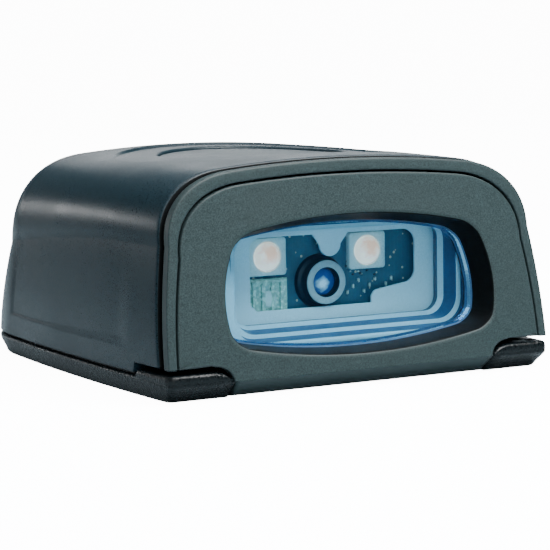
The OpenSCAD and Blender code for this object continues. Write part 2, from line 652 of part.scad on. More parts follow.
top_cover();
front_frame();
front_panel();
base_plate();
base_seal();
exit_window();
window_gasket();
light_shroud();
optics_mask();
optics_board();
optics_chips();
led_package_left();
led_package_right();
led_lens_left();
led_lens_right();
lens_barrel();
camera_lens();
image_sensor();
aiming_module();
aiming_lens();
engine_chassis();
engine_screws();
flex_cable();
main_board();
decoder_chip();
memory_chips();
shield_can();
board_parts();
beeper();
board_screws();
cover_screws();
mount_inserts();
interface_jack();
jack_contacts();
trigger_button();
key_board();
key_dome();
key_screws();
status_led();
light_pipe();
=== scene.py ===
"""Looks of a compact fixed-mount code reader: its moulded shells, tinted window and optics.

Lengths in this file are millimetres in the row frame, and MM turns them into metres.
"""
import math
import random
from bisect import bisect

import bmesh
import bpy
from mathutils import Matrix, Vector


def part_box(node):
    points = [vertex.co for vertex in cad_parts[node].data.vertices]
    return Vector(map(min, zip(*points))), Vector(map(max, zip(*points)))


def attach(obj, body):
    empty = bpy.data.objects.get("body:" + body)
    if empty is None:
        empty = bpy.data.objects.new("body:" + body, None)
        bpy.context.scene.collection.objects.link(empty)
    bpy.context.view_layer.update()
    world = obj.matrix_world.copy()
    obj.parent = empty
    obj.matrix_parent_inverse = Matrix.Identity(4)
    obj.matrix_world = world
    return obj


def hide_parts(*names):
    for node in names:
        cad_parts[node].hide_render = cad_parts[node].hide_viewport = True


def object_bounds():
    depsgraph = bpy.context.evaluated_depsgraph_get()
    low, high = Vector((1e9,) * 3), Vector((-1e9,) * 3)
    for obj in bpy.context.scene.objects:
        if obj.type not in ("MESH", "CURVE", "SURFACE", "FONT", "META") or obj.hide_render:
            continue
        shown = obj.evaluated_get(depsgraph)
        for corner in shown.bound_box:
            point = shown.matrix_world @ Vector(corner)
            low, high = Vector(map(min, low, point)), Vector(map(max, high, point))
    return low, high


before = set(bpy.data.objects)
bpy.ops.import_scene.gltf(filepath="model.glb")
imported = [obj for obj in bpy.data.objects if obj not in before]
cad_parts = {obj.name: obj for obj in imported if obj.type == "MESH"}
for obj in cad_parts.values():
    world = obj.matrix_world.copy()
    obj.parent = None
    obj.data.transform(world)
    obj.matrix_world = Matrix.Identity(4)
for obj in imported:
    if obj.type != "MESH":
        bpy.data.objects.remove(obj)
cad_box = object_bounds()
MM = 0.001

# ---- Sizes taken from the frame ----


def box_mm(node):
    """Lowest and highest corner of a CAD node, in millimetres."""
    low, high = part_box(node)
    return low / MM, high / MM


BODY_LOW, BODY_HIGH = cad_box[0] / MM, cad_box[1] / MM
BODY_W = BODY_HIGH.x - BODY_LOW.x
BODY_H = BODY_HIGH.z
FRONT_Y, REAR_Y = BODY_LOW.y, BODY_HIGH.y
SPLIT_Z = box_mm("top_cover")[0].z      # where the cover meets the base
BUTTON_LOW, BUTTON_HIGH = box_mm("trigger_button")
BOARD_Y = box_mm("optics_board")[0].y   # front of the optics board
LENS_LOW, LENS_HIGH = box_mm("camera_lens")
LENS_X, LENS_Z = (LENS_LOW.x + LENS_HIGH.x) / 2, (LENS_LOW.z + LENS_HIGH.z) / 2
JACK_LOW, JACK_HIGH = box_mm("interface_jack")

# ---- Shape rules of the housing ----

LEAN = 0.154             # backward lean of the face, per millimetre of height
FACE_Z = 2.2             # height at which the face reaches furthest forward
BOW_Y, BOW_K = 5, 826    # the bowed sides
CROWN_K = 0.00306        # fall of the crown across
CROWN_Y, CROWN_LEN_K = 8, 4083
SHOULDER_X, SHOULDER_Z, SHOULDER_N = 9.5, 8.5, 2.4
SIDE_LEAN = 1.4
UPRIGHT_Y = -10
FACE_T = 1.4             # thickness of the front frame
SEAM = 0.7
COVER_Y = FRONT_Y + FACE_T + SEAM
SWELL_Y = -15            # behind this the shoulder grows rounder
SWELL = (0.4, 2, 4.5)    # growth of the side lean, and of the shoulder's width and height
REAR_D = 12              # depth over which the rear rounds off
REAR_LOW, REAR_SIDE, REAR_TOP = 5.5, 9.5, 8
REAR_END = REAR_Y - REAR_D
FRAME_LOW = 4.3          # lowest edge of the front frame
TOP_Z = BODY_H + 0.03    # height of the crown's peak, which the dish cuts away
HOLE_R = 13.1            # hole of the button in the dish
WINDOW_X, WINDOW_LOW, WINDOW_TOP = 19.5, 4.3, 21.6
TUNNEL_DROP = 0.35       # the tunnel's inner end is this much lower than its mouth
WINDOW_SHIFT = 0.4       # the window's middle is a little to the right of the housing's
TUNNEL_D = 5.3           # depth of the window's tunnel
TOE_Y = FRONT_Y + 2.2    # front edge of the resting face
FOOT_Y = FRONT_Y + 0.12  # front of the base and of the panel's foot


def half_width(y):
    return BODY_W / 2 - (y - BOW_Y) ** 2 / BOW_K


def crown_z(y):
    return TOP_Z - (y - CROWN_Y) ** 2 / CROWN_LEN_K


def lean_at(station):
    return LEAN * max(0.0, min(1.0, (UPRIGHT_Y - station) / (UPRIGHT_Y - COVER_Y)))


def face_y(z, depth=0.0):
    """How far forward a point of height z lies that is depth behind the face."""
    return FRONT_Y + depth + LEAN * (z - FACE_Z)


def smooth(t, low, high):
    """Rises gently from 0 at low to 1 at high."""
    t = max(0.0, min(1.0, (t - low) / (high - low)))
    return t * t * (3 - 2 * t)


def crowned(x, z, top):
    return x, z - CROWN_K * x * x * (z - SPLIT_Z) / (top - SPLIT_Z)


def grown(y):
    """How much of its full growth the shoulder has at y."""
    return max(0.0, (y - SWELL_Y) / (REAR_Y - SWELL_Y)) ** 1.5


def shoulder(y):
    """The side lean, and the shoulder's width and height, at y."""
    g = grown(y)
    return SIDE_LEAN + g * SWELL[0], SHOULDER_X + g * SWELL[1], SHOULDER_Z + g * SWELL[2]


def quarter(steps):
    """Angles from 0 to a quarter of a turn."""
    return [math.pi / 2 * i / steps for i in range(steps + 1)]


def mirrored(half):
    """A right half that ends in the middle, followed by its mirror image."""
    return half + [(-x, z) for x, z in reversed(half[:-1])]


def half_section(w, top, low=SPLIT_Z, y=FRONT_Y, sides=66, bends=34, tops=34):
    """Right half of a cross-section, from the lower edge to the middle of the top."""
    lean_in, wide, high = shoulder(y)
    zs, xs = top - high, w - lean_in
    points = []
    for i in range(sides):
        z = low + (zs - low) * i / sides
        points.append(crowned(w - lean_in * ((z - SPLIT_Z) / (zs - SPLIT_Z)) ** 2, z, top))
    for a in quarter(bends):
        x = xs - wide * (1 - math.cos(a) ** (2 / SHOULDER_N))
        points.append(crowned(x, zs + high * math.sin(a) ** (2 / SHOULDER_N), top))
    for i in range(1, tops + 1):
        points.append(crowned((xs - wide) * (1 - i / tops), top, top))
    return points


def whole_section(*args, **kinds):
    return mirrored(half_section(*args, **kinds))


def top_surface(x, y):
    """Height of the cover's outer skin above the plan point (x, y)."""
    station, z = y, TOP_Z
    turned = min(1.0, max(0.0, (y - REAR_END) / REAR_D))
    for _ in range(8):
        lean_in, wide, high = shoulder(station)
        w = half_width(station)
        top = crown_z(station) - REAR_TOP * (1 - math.sqrt(1 - turned * turned))
        u = max(0.0, (abs(x) - (w - lean_in - wide)) / wide)
        flat = top - high + high * max(0.0, 1 - u ** SHOULDER_N) ** (1 / SHOULDER_N)
        z = crowned(x, flat, top)[1]
        station = min(REAR_END, y - lean_at(station) * (z - FACE_Z))
    return z


def on_skin(points, drop=0.0):
    """Plan points lifted to this depth below the cover's outer skin."""
    return [(x, y, top_surface(x, y) - drop) for x, y in points]


# ---- Mesh helpers ----


def piece(name, verts, faces, materials, body="housing", flat=False, face_slots=None):
    """A mesh object with vertices in millimetres that rides on a body."""
    mesh = bpy.data.meshes.new(name)
    mesh.from_pydata([Vector(v) * MM for v in verts], [], faces)
    for m in materials if isinstance(materials, list) else [materials]:
        mesh.materials.append(m)
    if face_slots:
        mesh.polygons.foreach_set("material_index", face_slots)
    mesh.polygons.foreach_set("use_smooth", [not flat] * len(mesh.polygons))
    mesh.validate()
    face_outward(mesh)
    obj = bpy.data.objects.new(name, mesh)
    bpy.context.scene.collection.objects.link(obj)
    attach(obj, body)
    return obj


def face_outward(mesh):
    shape = bmesh.new()
    shape.from_mesh(mesh)
    loose = [v for v in shape.verts if not v.link_faces]
    bmesh.ops.delete(shape, geom=loose, context="VERTS")
    bmesh.ops.recalc_face_normals(shape, faces=shape.faces)
    shape.to_mesh(mesh)
    shape.free()
    mesh.update()


def modify(obj, kind, **values):
    m = obj.modifiers.new(kind.lower(), kind)
    for key, value in values.items():
        setattr(m, key, value)
    return m


def ease(obj, width):
    """Bevels the sharp edges, by a width in millimetres."""
    modify(obj, "BEVEL", width=width * MM, segments=2, limit_method="ANGLE", angle_limit=math.radians(40))


def grid(rows, closed=False):
    """Quads between rows of points that all have the same length."""
    n, faces = len(rows[0]), []
    for i in range(len(rows) - 1):
        for j in range(n if closed else n - 1):
            a, b = i * n + j, i * n + (j + 1) % n
            faces.append((a, b, b + n, a + n))
    return [p for row in rows for p in row], faces


def capped(rings):
    """Quads between closed rings, with both ends filled in."""
    verts, faces = grid(rings, closed=True)
    n, end = len(rings[0]), len(verts)
    return verts, faces + [tuple(reversed(range(n))), tuple(range(end - n, end))]


def extend(group, shape):
    """Appends the vertices and faces of a shape to those of a group."""
    verts, faces = group
    base = len(verts)
    verts.extend(shape[0])
    faces.extend([tuple(base + k for k in f) for f in shape[1]])


def round_rect(x, z, w, h, r, step=1.0, bend=8):
    """Points round a rectangle with round corners, centred at (x, z)."""
    points = []
    corners = [(1, 1, 0), (-1, 1, 90), (-1, -1, 180), (1, -1, 270)]
    for sx, sz, start in corners:
        cx, cz = x + sx * (w / 2 - r), z + sz * (h / 2 - r)
        for i in range(bend + 1):
            a = math.radians(start + 90 * i / bend)
            points.append((cx + r * math.cos(a), cz + r * math.sin(a)))
        edge = h - 2 * r if start in (90, 270) else w - 2 * r
        count = max(1, round(edge / step))
        last = points[-1]
        dx, dz = {0: (-1, 0), 90: (0, -1), 180: (1, 0), 270: (0, 1)}[start]
        for i in range(1, count):
            points.append((last[0] + dx * edge * i / count, last[1] + dz * edge * i / count))
    return points


def pillow(g=0.0):
    """Outline of the window opening, grown by g: a rounded rectangle with bowed sides."""
    r, zc = 2.3, (WINDOW_LOW + WINDOW_TOP) / 2
    sunk = TUNNEL_DROP * max(0.0, min(1.0, -g / 0.7))
    hx, hz = WINDOW_X + g, (WINDOW_TOP - WINDOW_LOW) / 2 + g
    dense = []
    for x, z in round_rect(0, 0, 2 * hx, 2 * hz, r, step=0.4):
        bowed = x * (1 - (zc + z - 11) ** 2 / (50 * hx))
        dense.append((WINDOW_SHIFT + bowed, zc - sunk + z * (1 - x * x / (185 * hz))))
    return by_angle(dense, (WINDOW_SHIFT, zc), 240)


def turns(steps):
    return [2 * math.pi * i / steps for i in range(steps)]


def circle(r, angles):
    return [(r * math.cos(a), r * math.sin(a)) for a in angles]


def ray_hits(outline, centre, angles):
    """Where rays from the centre at these angles cross a closed outline."""
    polar = sorted((math.atan2(z - centre[1], x - centre[0]), x, z) for x, z in outline)
    first, last, turn = polar[0], polar[-1], 2 * math.pi
    polar = [(last[0] - turn, *last[1:])] + polar + [(first[0] + turn, *first[1:])]
    keys, points = [p[0] for p in polar], []
    for a in angles:
        a = math.remainder(a, turn)
        k = min(bisect(keys, a), len(keys) - 1) - 1
        (_, x0, z0), (_, x1, z1) = polar[k], polar[k + 1]
        dx, dz, ex, ez = math.cos(a), math.sin(a), x1 - x0, z1 - z0
        below = dx * ez - dz * ex
        t = math.hypot(x0 - centre[0], z0 - centre[1])
        if abs(below) > 1e-9:
            t = ((x0 - centre[0]) * ez - (z0 - centre[1]) * ex) / below
        points.append((centre[0] + t * dx, centre[1] + t * dz))
    return points


def by_angle(outline, centre, steps):
    """The outline sampled where evenly turned rays from the centre cross it."""
    return ray_hits(outline, centre, turns(steps))


def lathe(profile, centre, steps):
    """Rows made by turning a profile of (radius, height) about an axis out of the window."""
    x, y, z = centre
    return [[(x + r * math.cos(a), y - h, z + r * math.sin(a)) for a in turns(steps)]
            for r, h in profile]


# ---- Materials ----


def link(tree, source, target):
    tree.links.new(source, target)


def add(tree, kind, **values):
    """A new shader node. Values name its sockets, or properties where no socket has that name.

    A value that is another node's output is linked; any other is set on the socket itself."""
    node = tree.nodes.new(kind)
    for key, value in values.items():
        if key not in node.inputs:
            setattr(node, key, value)
        elif hasattr(value, "links"):
            link(tree, value, node.inputs[key])
        else:
            node.inputs[key].default_value = value
    return node


def shader(name, color, roughness, **sockets):
    """A material with its Principled shader's uniform values set on the shader itself."""
    material = bpy.data.materials.new(name)
    material.use_nodes = True
    tree = material.node_tree
    bsdf = tree.nodes["Principled BSDF"]
    bsdf.inputs["Base Color"].default_value = (*color, 1)
    bsdf.inputs["Roughness"].default_value = roughness
    for key, value in sockets.items():
        bsdf.inputs[key.replace("_", " ")].default_value = value
    return material, tree, bsdf


def position_mm(tree):
    """Position in millimetres, the same in every piece."""
    coords = add(tree, "ShaderNodeTexCoord")
    scaled = add(tree, "ShaderNodeVectorMath", operation="SCALE", Scale=1 / MM)
    link(tree, coords.outputs["Object"], scaled.inputs[0])
    return scaled.outputs[0]


def noise(tree, place, size, detail):
    """Noise whose features are about size millimetres across."""
    return add(tree, "ShaderNodeTexNoise", Vector=place, Scale=1 / size, Detail=detail,
               Roughness=0.55).outputs["Fac"]


def ranged(tree, value, low, high, out_low, out_high):
    """The value moved from one range to another."""
    numbers = {"From Min": low, "From Max": high, "To Min": out_low, "To Max": out_high}
    return add(tree, "ShaderNodeMapRange", Value=value, **numbers).outputs["Result"]


def mixed(tree, factor, first, second):
    """Blends two colours. Each may be a colour or a socket."""
    node = add(tree, "ShaderNodeMix", data_type="RGBA", Factor=factor)
    for socket, value in ((node.inputs[6], first), (node.inputs[7], second)):
        if hasattr(value, "links"):
            link(tree, value, socket)
        else:
            socket.default_value = (*value, 1)
    return node.outputs[2]


def bump(tree, bsdf, height, strength, distance_mm, after=None):
    """Relief added on top of the relief that after gives."""
    node = add(tree, "ShaderNodeBump", Strength=strength, Distance=distance_mm * MM, Height=height)
    if after:
        link(tree, after, node.inputs["Normal"])
    link(tree, node.outputs["Normal"], bsdf.inputs["Normal"])
    return node.outputs["Normal"]


def tinted(color, factor):
    return tuple(c * factor for c in color)


def moulded(name, color, roughness, grain, depth, speck=0.25, spread=0.07, worn=0.25, **sockets):
    """Moulded plastic: spark-eroded grain, tiny glints, soft handling marks and paler edges."""
    material, tree, bsdf = shader(name, color, roughness, **sockets)
    place = position_mm(tree)
    fine, coarse = noise(tree, place, grain, 2), noise(tree, place, grain * 3.2, 2)
    marks = noise(tree, place, 11, 4)
    pits = ranged(tree, fine, 0.36, 0.64, 0, 1)
    speckled = mixed(tree, pits, tinted(color, 1 - speck), tinted(color, 1 + speck))
    clouded = mixed(tree, ranged(tree, marks, 0.35, 0.7, 0, 0.35), speckled, tinted(color, 0.82))
    edges = add(tree, "ShaderNodeNewGeometry").outputs["Pointiness"]
    edge = ranged(tree, edges, 0.53, 0.62, 0, worn)
    link(tree, mixed(tree, edge, clouded, tinted(color, 2.1)), bsdf.inputs["Base Color"])
    rough = add(tree, "ShaderNodeMath", operation="ADD")
    link(tree, ranged(tree, fine, 0.3, 0.7, roughness - spread, roughness + spread), rough.inputs[0])
    link(tree, ranged(tree, marks, 0.3, 0.7, -0.04, 0.04), rough.inputs[1])
    link(tree, rough.outputs[0], bsdf.inputs["Roughness"])
    relief = bump(tree, bsdf, coarse, 0.35, depth)
    bump(tree, bsdf, fine, 0.8, depth, after=relief)
    return material


def metal(name, color, roughness, grain=0.08, stretch=(1, 1, 1)):
    """Bare or plated metal with fine tool marks and uneven shine."""
    material, tree, bsdf = shader(name, color, roughness, Metallic=1.0)
    place = position_mm(tree)
    drawn = add(tree, "ShaderNodeVectorMath", operation="MULTIPLY")
    drawn.inputs[1].default_value = stretch
    link(tree, place, drawn.inputs[0])
    lines, stains = noise(tree, drawn.outputs[0], grain, 3), noise(tree, place, 2.5, 4)
    link(tree, mixed(tree, ranged(tree, stains, 0.3, 0.7, 0, 1), tinted(color, 0.8), tinted(color, 1.1)),
         bsdf.inputs["Base Color"])
    link(tree, ranged(tree, lines, 0.3, 0.7, roughness - 0.1, roughness + 0.12), bsdf.inputs["Roughness"])
    bump(tree, bsdf, lines, 0.3, 0.01)
    return material


def board(name, mask_color, track_color):
    """A circuit board: solder mask over tracks laid on a grid, with plated vias."""
    material, tree, bsdf = shader(name, mask_color, 0.35)
    place = position_mm(tree)
    tracks = add(tree, "ShaderNodeTexBrick", Vector=place, Scale=0.9)
    tracks.inputs["Mortar Size"].default_value = 0.03
    vias = add(tree, "ShaderNodeTexVoronoi", Vector=place, Scale=0.8)
    laid = mixed(tree, tracks.outputs["Fac"], mask_color, track_color)
    via = ranged(tree, vias.outputs["Distance"], 0.13, 0.16, 1, 0)
    dotted = mixed(tree, via, laid, (0.55, 0.52, 0.4))
    weave = noise(tree, place, 0.5, 2)
    link(tree, mixed(tree, ranged(tree, weave, 0.3, 0.8, 0, 0.4), dotted, tinted(mask_color, 0.5)),
         bsdf.inputs["Base Color"])
    link(tree, ranged(tree, weave, 0.3, 0.7, 0.28, 0.42), bsdf.inputs["Roughness"])
    bump(tree, bsdf, tracks.outputs["Fac"], 0.4, 0.03)
    return material


def window_glass(name):
    """Tinted pane: it lets lamps through, and its blue coating mirrors a little of the surroundings."""
    material = bpy.data.materials.new(name)
    material.use_nodes = True
    tree = material.node_tree
    tree.nodes.clear()
    out = add(tree, "ShaderNodeOutputMaterial")
    clear = add(tree, "ShaderNodeBsdfTransparent", Color=(0.8, 0.94, 0.99, 1))
    coat = add(tree, "ShaderNodeBsdfGlossy", Color=(0.03, 0.3, 0.75, 1), Roughness=0.03)
    gloss = add(tree, "ShaderNodeBsdfGlossy", Color=(0.9, 0.95, 1, 1), Roughness=0.015)
    smears = noise(tree, position_mm(tree), 6, 4)
    link(tree, ranged(tree, smears, 0.3, 0.7, 0.015, 0.05), coat.inputs["Roughness"])
    coated = add(tree, "ShaderNodeMixShader")
    coated.inputs[0].default_value = 0.07
    link(tree, clear.outputs[0], coated.inputs[1])
    link(tree, coat.outputs[0], coated.inputs[2])
    fresnel = add(tree, "ShaderNodeFresnel", IOR=1.18)
    both = add(tree, "ShaderNodeMixShader")
    link(tree, fresnel.outputs[0], both.inputs[0])
    link(tree, coated.outputs[0], both.inputs[1])
    link(tree, gloss.outputs[0], both.inputs[2])
    link(tree, both.outputs[0], out.inputs["Surface"])
    return material


def domed(name, rim_color, tint_and_highlight_color, centre, reach, roughness=0.08, **sockets):
    """Cast dome whose colour shifts towards a spot at centre, within reach millimetres: the LEDs deepen to
    a tint of their own there, and the lens pales to a painted highlight.
    """
    material, tree, bsdf = shader(name, rim_color, roughness, Coat_Weight=1.0,
                                  Coat_Roughness=0.02, **sockets)
    place = position_mm(tree)
    away = add(tree, "ShaderNodeVectorMath", operation="DISTANCE")
    away.inputs[1].default_value = centre
    link(tree, place, away.inputs[0])
    cloud = noise(tree, place, 0.9, 3)
    soft = add(tree, "ShaderNodeMath", operation="ADD")
    link(tree, away.outputs["Value"], soft.inputs[0])
    link(tree, ranged(tree, cloud, 0.3, 0.7, -reach / 5, reach / 5), soft.inputs[1])
    tint_and_highlight_mask = ranged(tree, soft.outputs[0], reach * 0.35, reach, 1, 0)
    link(tree, mixed(tree, tint_and_highlight_mask, rim_color, tint_and_highlight_color), bsdf.inputs["Base Color"])
    uneven = ranged(tree, cloud, 0.3, 0.7, roughness * 0.7, roughness * 1.3)
    link(tree, uneven, bsdf.inputs["Roughness"])
    return material


COVER = moulded("cover plastic", (0.0048, 0.0122, 0.0168), 0.33, 0.16, 0.011, speck=0.5, worn=0.08,
                IOR=1.22)
BUTTON = moulded("button plastic", (0.0048, 0.0122, 0.0165), 0.33, 0.16, 0.011, speck=0.5, worn=0.08,
                 IOR=1.22)
FRONT = moulded("front plastic", (0.0145, 0.0242, 0.0252), 0.5, 0.17, 0.009, speck=0.35, worn=0.12,
                Specular_IOR_Level=0.15)
BASE = moulded("base plastic", (0.0011, 0.0026, 0.0032), 0.3, 0.3, 0.11, speck=0.4, worn=0.2,
               IOR=1.24)
# Black plastic of the window's tunnel. On the cover's lip and the frame's rear side it is painted shade in
# the seam.
TUNNEL_AND_SEAM_SHADE = moulded("tunnel plastic and seam shade", (0.0024, 0.003, 0.0033), 0.5, 0.3, 0.002, speck=0.15, spread=0.03,
                 worn=0, IOR=1.1)
LEDGE = moulded("shroud ledge", (0.44, 0.62, 0.71), 0.5, 0.3, 0.004, speck=0.05, worn=0)
# Dark blue of the shroud's walls: painted shade.
PAINTED_SHADE_WALLS = moulded("shroud wall painted shade", (0.02, 0.07, 0.16), 0.4, 0.3, 0.004, speck=0.1, worn=0)
MASK = moulded("mask plastic", (0.62, 0.78, 0.84), 0.55, 0.3, 0.004, speck=0.05, worn=0)
RUBBER = moulded("seal rubber", (0.003, 0.003, 0.0034), 0.75, 0.3, 0.01, speck=0.2)
CHIP = moulded("chip plastic", (0.008, 0.008, 0.009), 0.5, 0.12, 0.004, speck=0.2)
JACK = moulded("jack plastic", (0.004, 0.004, 0.0045), 0.3, 0.2, 0.004, speck=0.15)
WHITE = moulded("white ceramic", (0.5, 0.58, 0.52), 0.5, 0.15, 0.006, speck=0.08)
LED = moulded("LED body", (0.62, 0.74, 0.72), 0.3, 0.2, 0.003, speck=0.05, worn=0)
AIMING = moulded("aiming body", (0.42, 0.6, 0.5), 0.25, 0.6, 0.01, speck=0.35, Transmission_Weight=0.15)
BOARD = board("circuit board", (0.026, 0.085, 0.135), (0.033, 0.1, 0.142))
BARREL = moulded("lens barrel", (0.33, 0.4, 0.42), 0.55, 0.3, 0.004, speck=0.08, worn=0)
DARK_BARREL = metal("black barrel", (0.02, 0.024, 0.028), 0.4)
CASTING = metal("die casting", (0.5, 0.51, 0.52), 0.5, 0.2)
ZINC = metal("zinc screw", (0.62, 0.62, 0.6), 0.32)
OXIDE = metal("black screw", (0.06, 0.06, 0.065), 0.38)
TIN = metal("tin plate", (0.62, 0.62, 0.6), 0.28, 0.15, (1, 0.1, 1))
BRASS = metal("insert brass", (0.72, 0.5, 0.2), 0.3, 0.1, (1, 1, 6))
GOLD = metal("gold contact", (0.85, 0.62, 0.25), 0.25, 0.1, (6, 1, 1))
FILM = moulded("flex film", (0.42, 0.2, 0.04), 0.28, 0.4, 0.004, speck=0.1)
CUP = metal("LED cup", (0.85, 0.85, 0.83), 0.25, 0.3)
DOME = moulded("aiming dome", (0.62, 0.78, 0.74), 0.12, 0.5, 0.003, speck=0.05, worn=0)
PIPE = moulded("light pipe", (0.75, 0.8, 0.8), 0.2, 0.5, 0.003, speck=0.05, worn=0)
GLASS = window_glass("window glass")


def paper(name):
    """White paper, lit from behind as far as the camera can tell, so that it stays near white."""
    material, tree, bsdf = shader(name, (0.36, 0.45, 0.5), 0.85)
    glow = add(tree, "ShaderNodeEmission", Color=(1, 1, 1, 1))
    rays = add(tree, "ShaderNodeLightPath")
    link(tree, ranged(tree, rays.outputs["Is Camera Ray"], 0, 1, 0, 13), glow.inputs["Strength"])
    both = add(tree, "ShaderNodeAddShader")
    link(tree, bsdf.outputs[0], both.inputs[0])
    link(tree, glow.outputs[0], both.inputs[1])
    link(tree, both.outputs[0], tree.nodes["Material Output"].inputs["Surface"])
    return material


# ---- The cover ----

RECESS = 0.11            # depth of the shallow panel in each side
RECESS_LOW = 6.0         # its lower edge
RECESS_FRONT, RECESS_BACK = -20.6, 19.2
SIDE_X = 15              # points further out than this belong to a side
SEAM_MORE = 0.4          # how far the cover's eased front edge stays behind the seam's nominal end
EASE = 0.35              # radius of that edge
DISH_X, DISH_Y = 20.6, 20.4     # the cover's own grid ends here, round the dish
PAINTED_SHADE_LIP_ROWS = 6             # rows of the cover's turned-in front edge, painted dark as shade in the seam


def side_recess(y, z):
    """How far the side is sunk at (y, z): crisp below, with a ledge that widens forward."""
    ledge = 0.14 + 0.55 * smooth(-y, -12, 18)
    up = 0.55 * smooth(z, RECESS_LOW, RECESS_LOW + 0.14)
    up += 0.45 * smooth(z, RECESS_LOW + ledge, RECESS_LOW + ledge + 0.14)
    down = 1 - smooth(z, 11, 19)
    ends = smooth(y, RECESS_FRONT, RECESS_FRONT + 4) * (1 - smooth(y, RECESS_BACK - 0.6, RECESS_BACK))
    return RECESS * up * down * ends


def cover_low(station):
    """The cover's lower edge, stepped up over the base's corner tabs."""
    return SPLIT_Z + (FRAME_LOW - SPLIT_Z) * (1 - smooth(station, -22.3, -21.7))


def cover_row(station, inset, drop=None):
    """One cross-section of the cover, with its lower edges turned inward."""
    w, low = half_width(station) - inset, cover_low(station)
    top = crown_z(station) - (inset if drop is None else drop)
    half = half_section(w, top, low + 0.16, station)
    lip = [(w - 1.6, low + 2.4), (w - 1.6, low + 0.1), (w - 1.5, low), (w - 0.22, low),
           (w - 0.07, low + 0.05)]
    row = []
    for x, z in mirrored(lip + half):
        y = station + lean_at(station) * (z - FACE_Z)
        if abs(x) > SIDE_X and inset == 0:
            x -= math.copysign(side_recess(y, z), x)
        row.append((x, y, z))
    return row


def cover_rows():
    edge = COVER_Y + SEAM_MORE
    rows = [cover_row(edge + 2, 1.6), cover_row(edge + 0.02, 1.6), cover_row(edge, 0.45)]
    for a in quarter(6):
        rows.append(cover_row(edge + EASE * (1 - math.cos(a)), EASE * (1 - math.sin(a))))
    start, end = edge + EASE, REAR_END
    extra = [RECESS_FRONT + d for d in (-0.2, 0, 0.4, 0.8, 1.4, 2, 2.6, 3.2, 3.8, 4.2)]
    extra += [-22.4, -22.2, -22.1, -21.9, -21.8, -21.6]
    even = [start + (end - start) * i / 100 for i in range(1, 101)]
    rows += [cover_row(s, 0) for s in sorted(even + extra)]
    w = half_width(end)
    for a in quarter(30)[1:]:
        back, turned, row = end + REAR_D * math.sin(a), 1 - math.cos(a), []
        for x, _, z in cover_row(end, 0, drop=REAR_TOP * turned):
            reach = REAR_LOW + (REAR_SIDE - REAR_LOW) * min(1.0, max(0.0, (z - SPLIT_Z) / 15))
            if abs(x) > SIDE_X:
                x += math.copysign(side_recess(end, z) - side_recess(back, z), x)
            row.append((x * (1 - reach * turned / w), back, z))
        rows.append(row)
    return rows


def lerp(p, q, t):
    return tuple(a + (b - a) * t for a, b in zip(p, q))


DISH_PROFILE = [(19.35, 0), (19.18, 0.012), (19.04, 0.06), (18.94, 0.15), (18.88, 0.27), (18.74, 0.34),
                (18.5, 0.36), (17, 0.36), (15.5, 0.36), (14.2, 0.36), (13.5, 0.37), (13.3, 0.4),
                (13.18, 0.5), (HOLE_R, 0.66), (HOLE_R, 1.5), (13.6, 1.6)]


def build_cover():
    rows = cover_rows()
    verts, faces = grid(rows)
    n = len(rows[0])
    middle = n // 2
    # The window of the grid that the dish replaces
    i0 = max(i for i, row in enumerate(rows) if row[middle][1] < -DISH_Y)
    i1 = min(i for i, row in enumerate(rows) if row[middle][1] > DISH_Y)
    half_way = rows[(i0 + i1) // 2]
    j0 = max(j for j in range(middle) if half_way[j][0] > DISH_X)
    j1 = n - 1 - j0
    faces = [f for f in faces if not (i0 <= f[0] // n < i1 and j0 <= f[0] % n < j1)]
    loop = [(i0, j) for j in range(j0, j1)] + [(i, j1) for i in range(i0, i1)]
    loop += [(i1, j) for j in range(j1, j0, -1)] + [(i, j0) for i in range(i1, i0, -1)]
    ring = [i * n + j for i, j in loop]
    rim = [verts[k] for k in ring]
    angles = [math.atan2(y, x) for x, y, z in rim]

    def add_ring(points):
        base = len(verts)
        verts.extend(points)
        new = list(range(base, base + len(points)))
        for k in range(len(ring)):
            m = (k + 1) % len(ring)
            faces.append((ring[k], ring[m], new[m], new[k]))
        ring[:] = new

    outermost = circle(DISH_PROFILE[0][0], angles)
    for step in range(1, 9):
        add_ring(on_skin([lerp(p[:2], q, step / 9) for p, q in zip(rim, outermost)]))
    for r, drop in DISH_PROFILE:
        add_ring(on_skin(circle(r, angles), drop))
    # The rear wall, with the port's opening
    last = (len(rows) - 1) * n
    lip = 4
    outline = list(range(last + lip, last + n - lip))
    low = verts[outline[0]]
    bottoms = [(low[0] * (1 - 2 * i / 60), low[1], low[2]) for i in range(59, 0, -1)]
    base = len(verts)
    verts.extend(bottoms)
    outline += list(range(base, base + len(bottoms)))
    centre = ((JACK_LOW.x + JACK_HIGH.x) / 2, (JACK_LOW.z + JACK_HIGH.z) / 2)
    wide, high = JACK_HIGH.x - JACK_LOW.x + 0.4, JACK_HIGH.z - JACK_LOW.z + 0.4
    port = round_rect(*centre, wide, high, 0.5, step=0.5)
    ring[:] = outline
    plane = [verts[k] for k in outline]
    angles = [math.atan2(z - centre[1], x - centre[0]) for x, y, z in plane]
    hole = ray_hits(port, centre, angles)
    for step in range(1, 7):
        t = step / 6
        flat = [lerp((p[0], p[2]), h, t) for p, h in zip(plane, hole)]
        add_ring([(x, REAR_Y, z) for x, z in flat])
    add_ring([(x, REAR_Y - 1.8, z) for x, z in hole])
    # Painted shade: the lip's rows take the black tunnel plastic, as shade in the seam.
    slots = [1 if max(f) < PAINTED_SHADE_LIP_ROWS * n else 0 for f in faces]
    cover = piece("cover_shell", verts, faces, [COVER, TUNNEL_AND_SEAM_SHADE], face_slots=slots)
    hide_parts("top_cover")


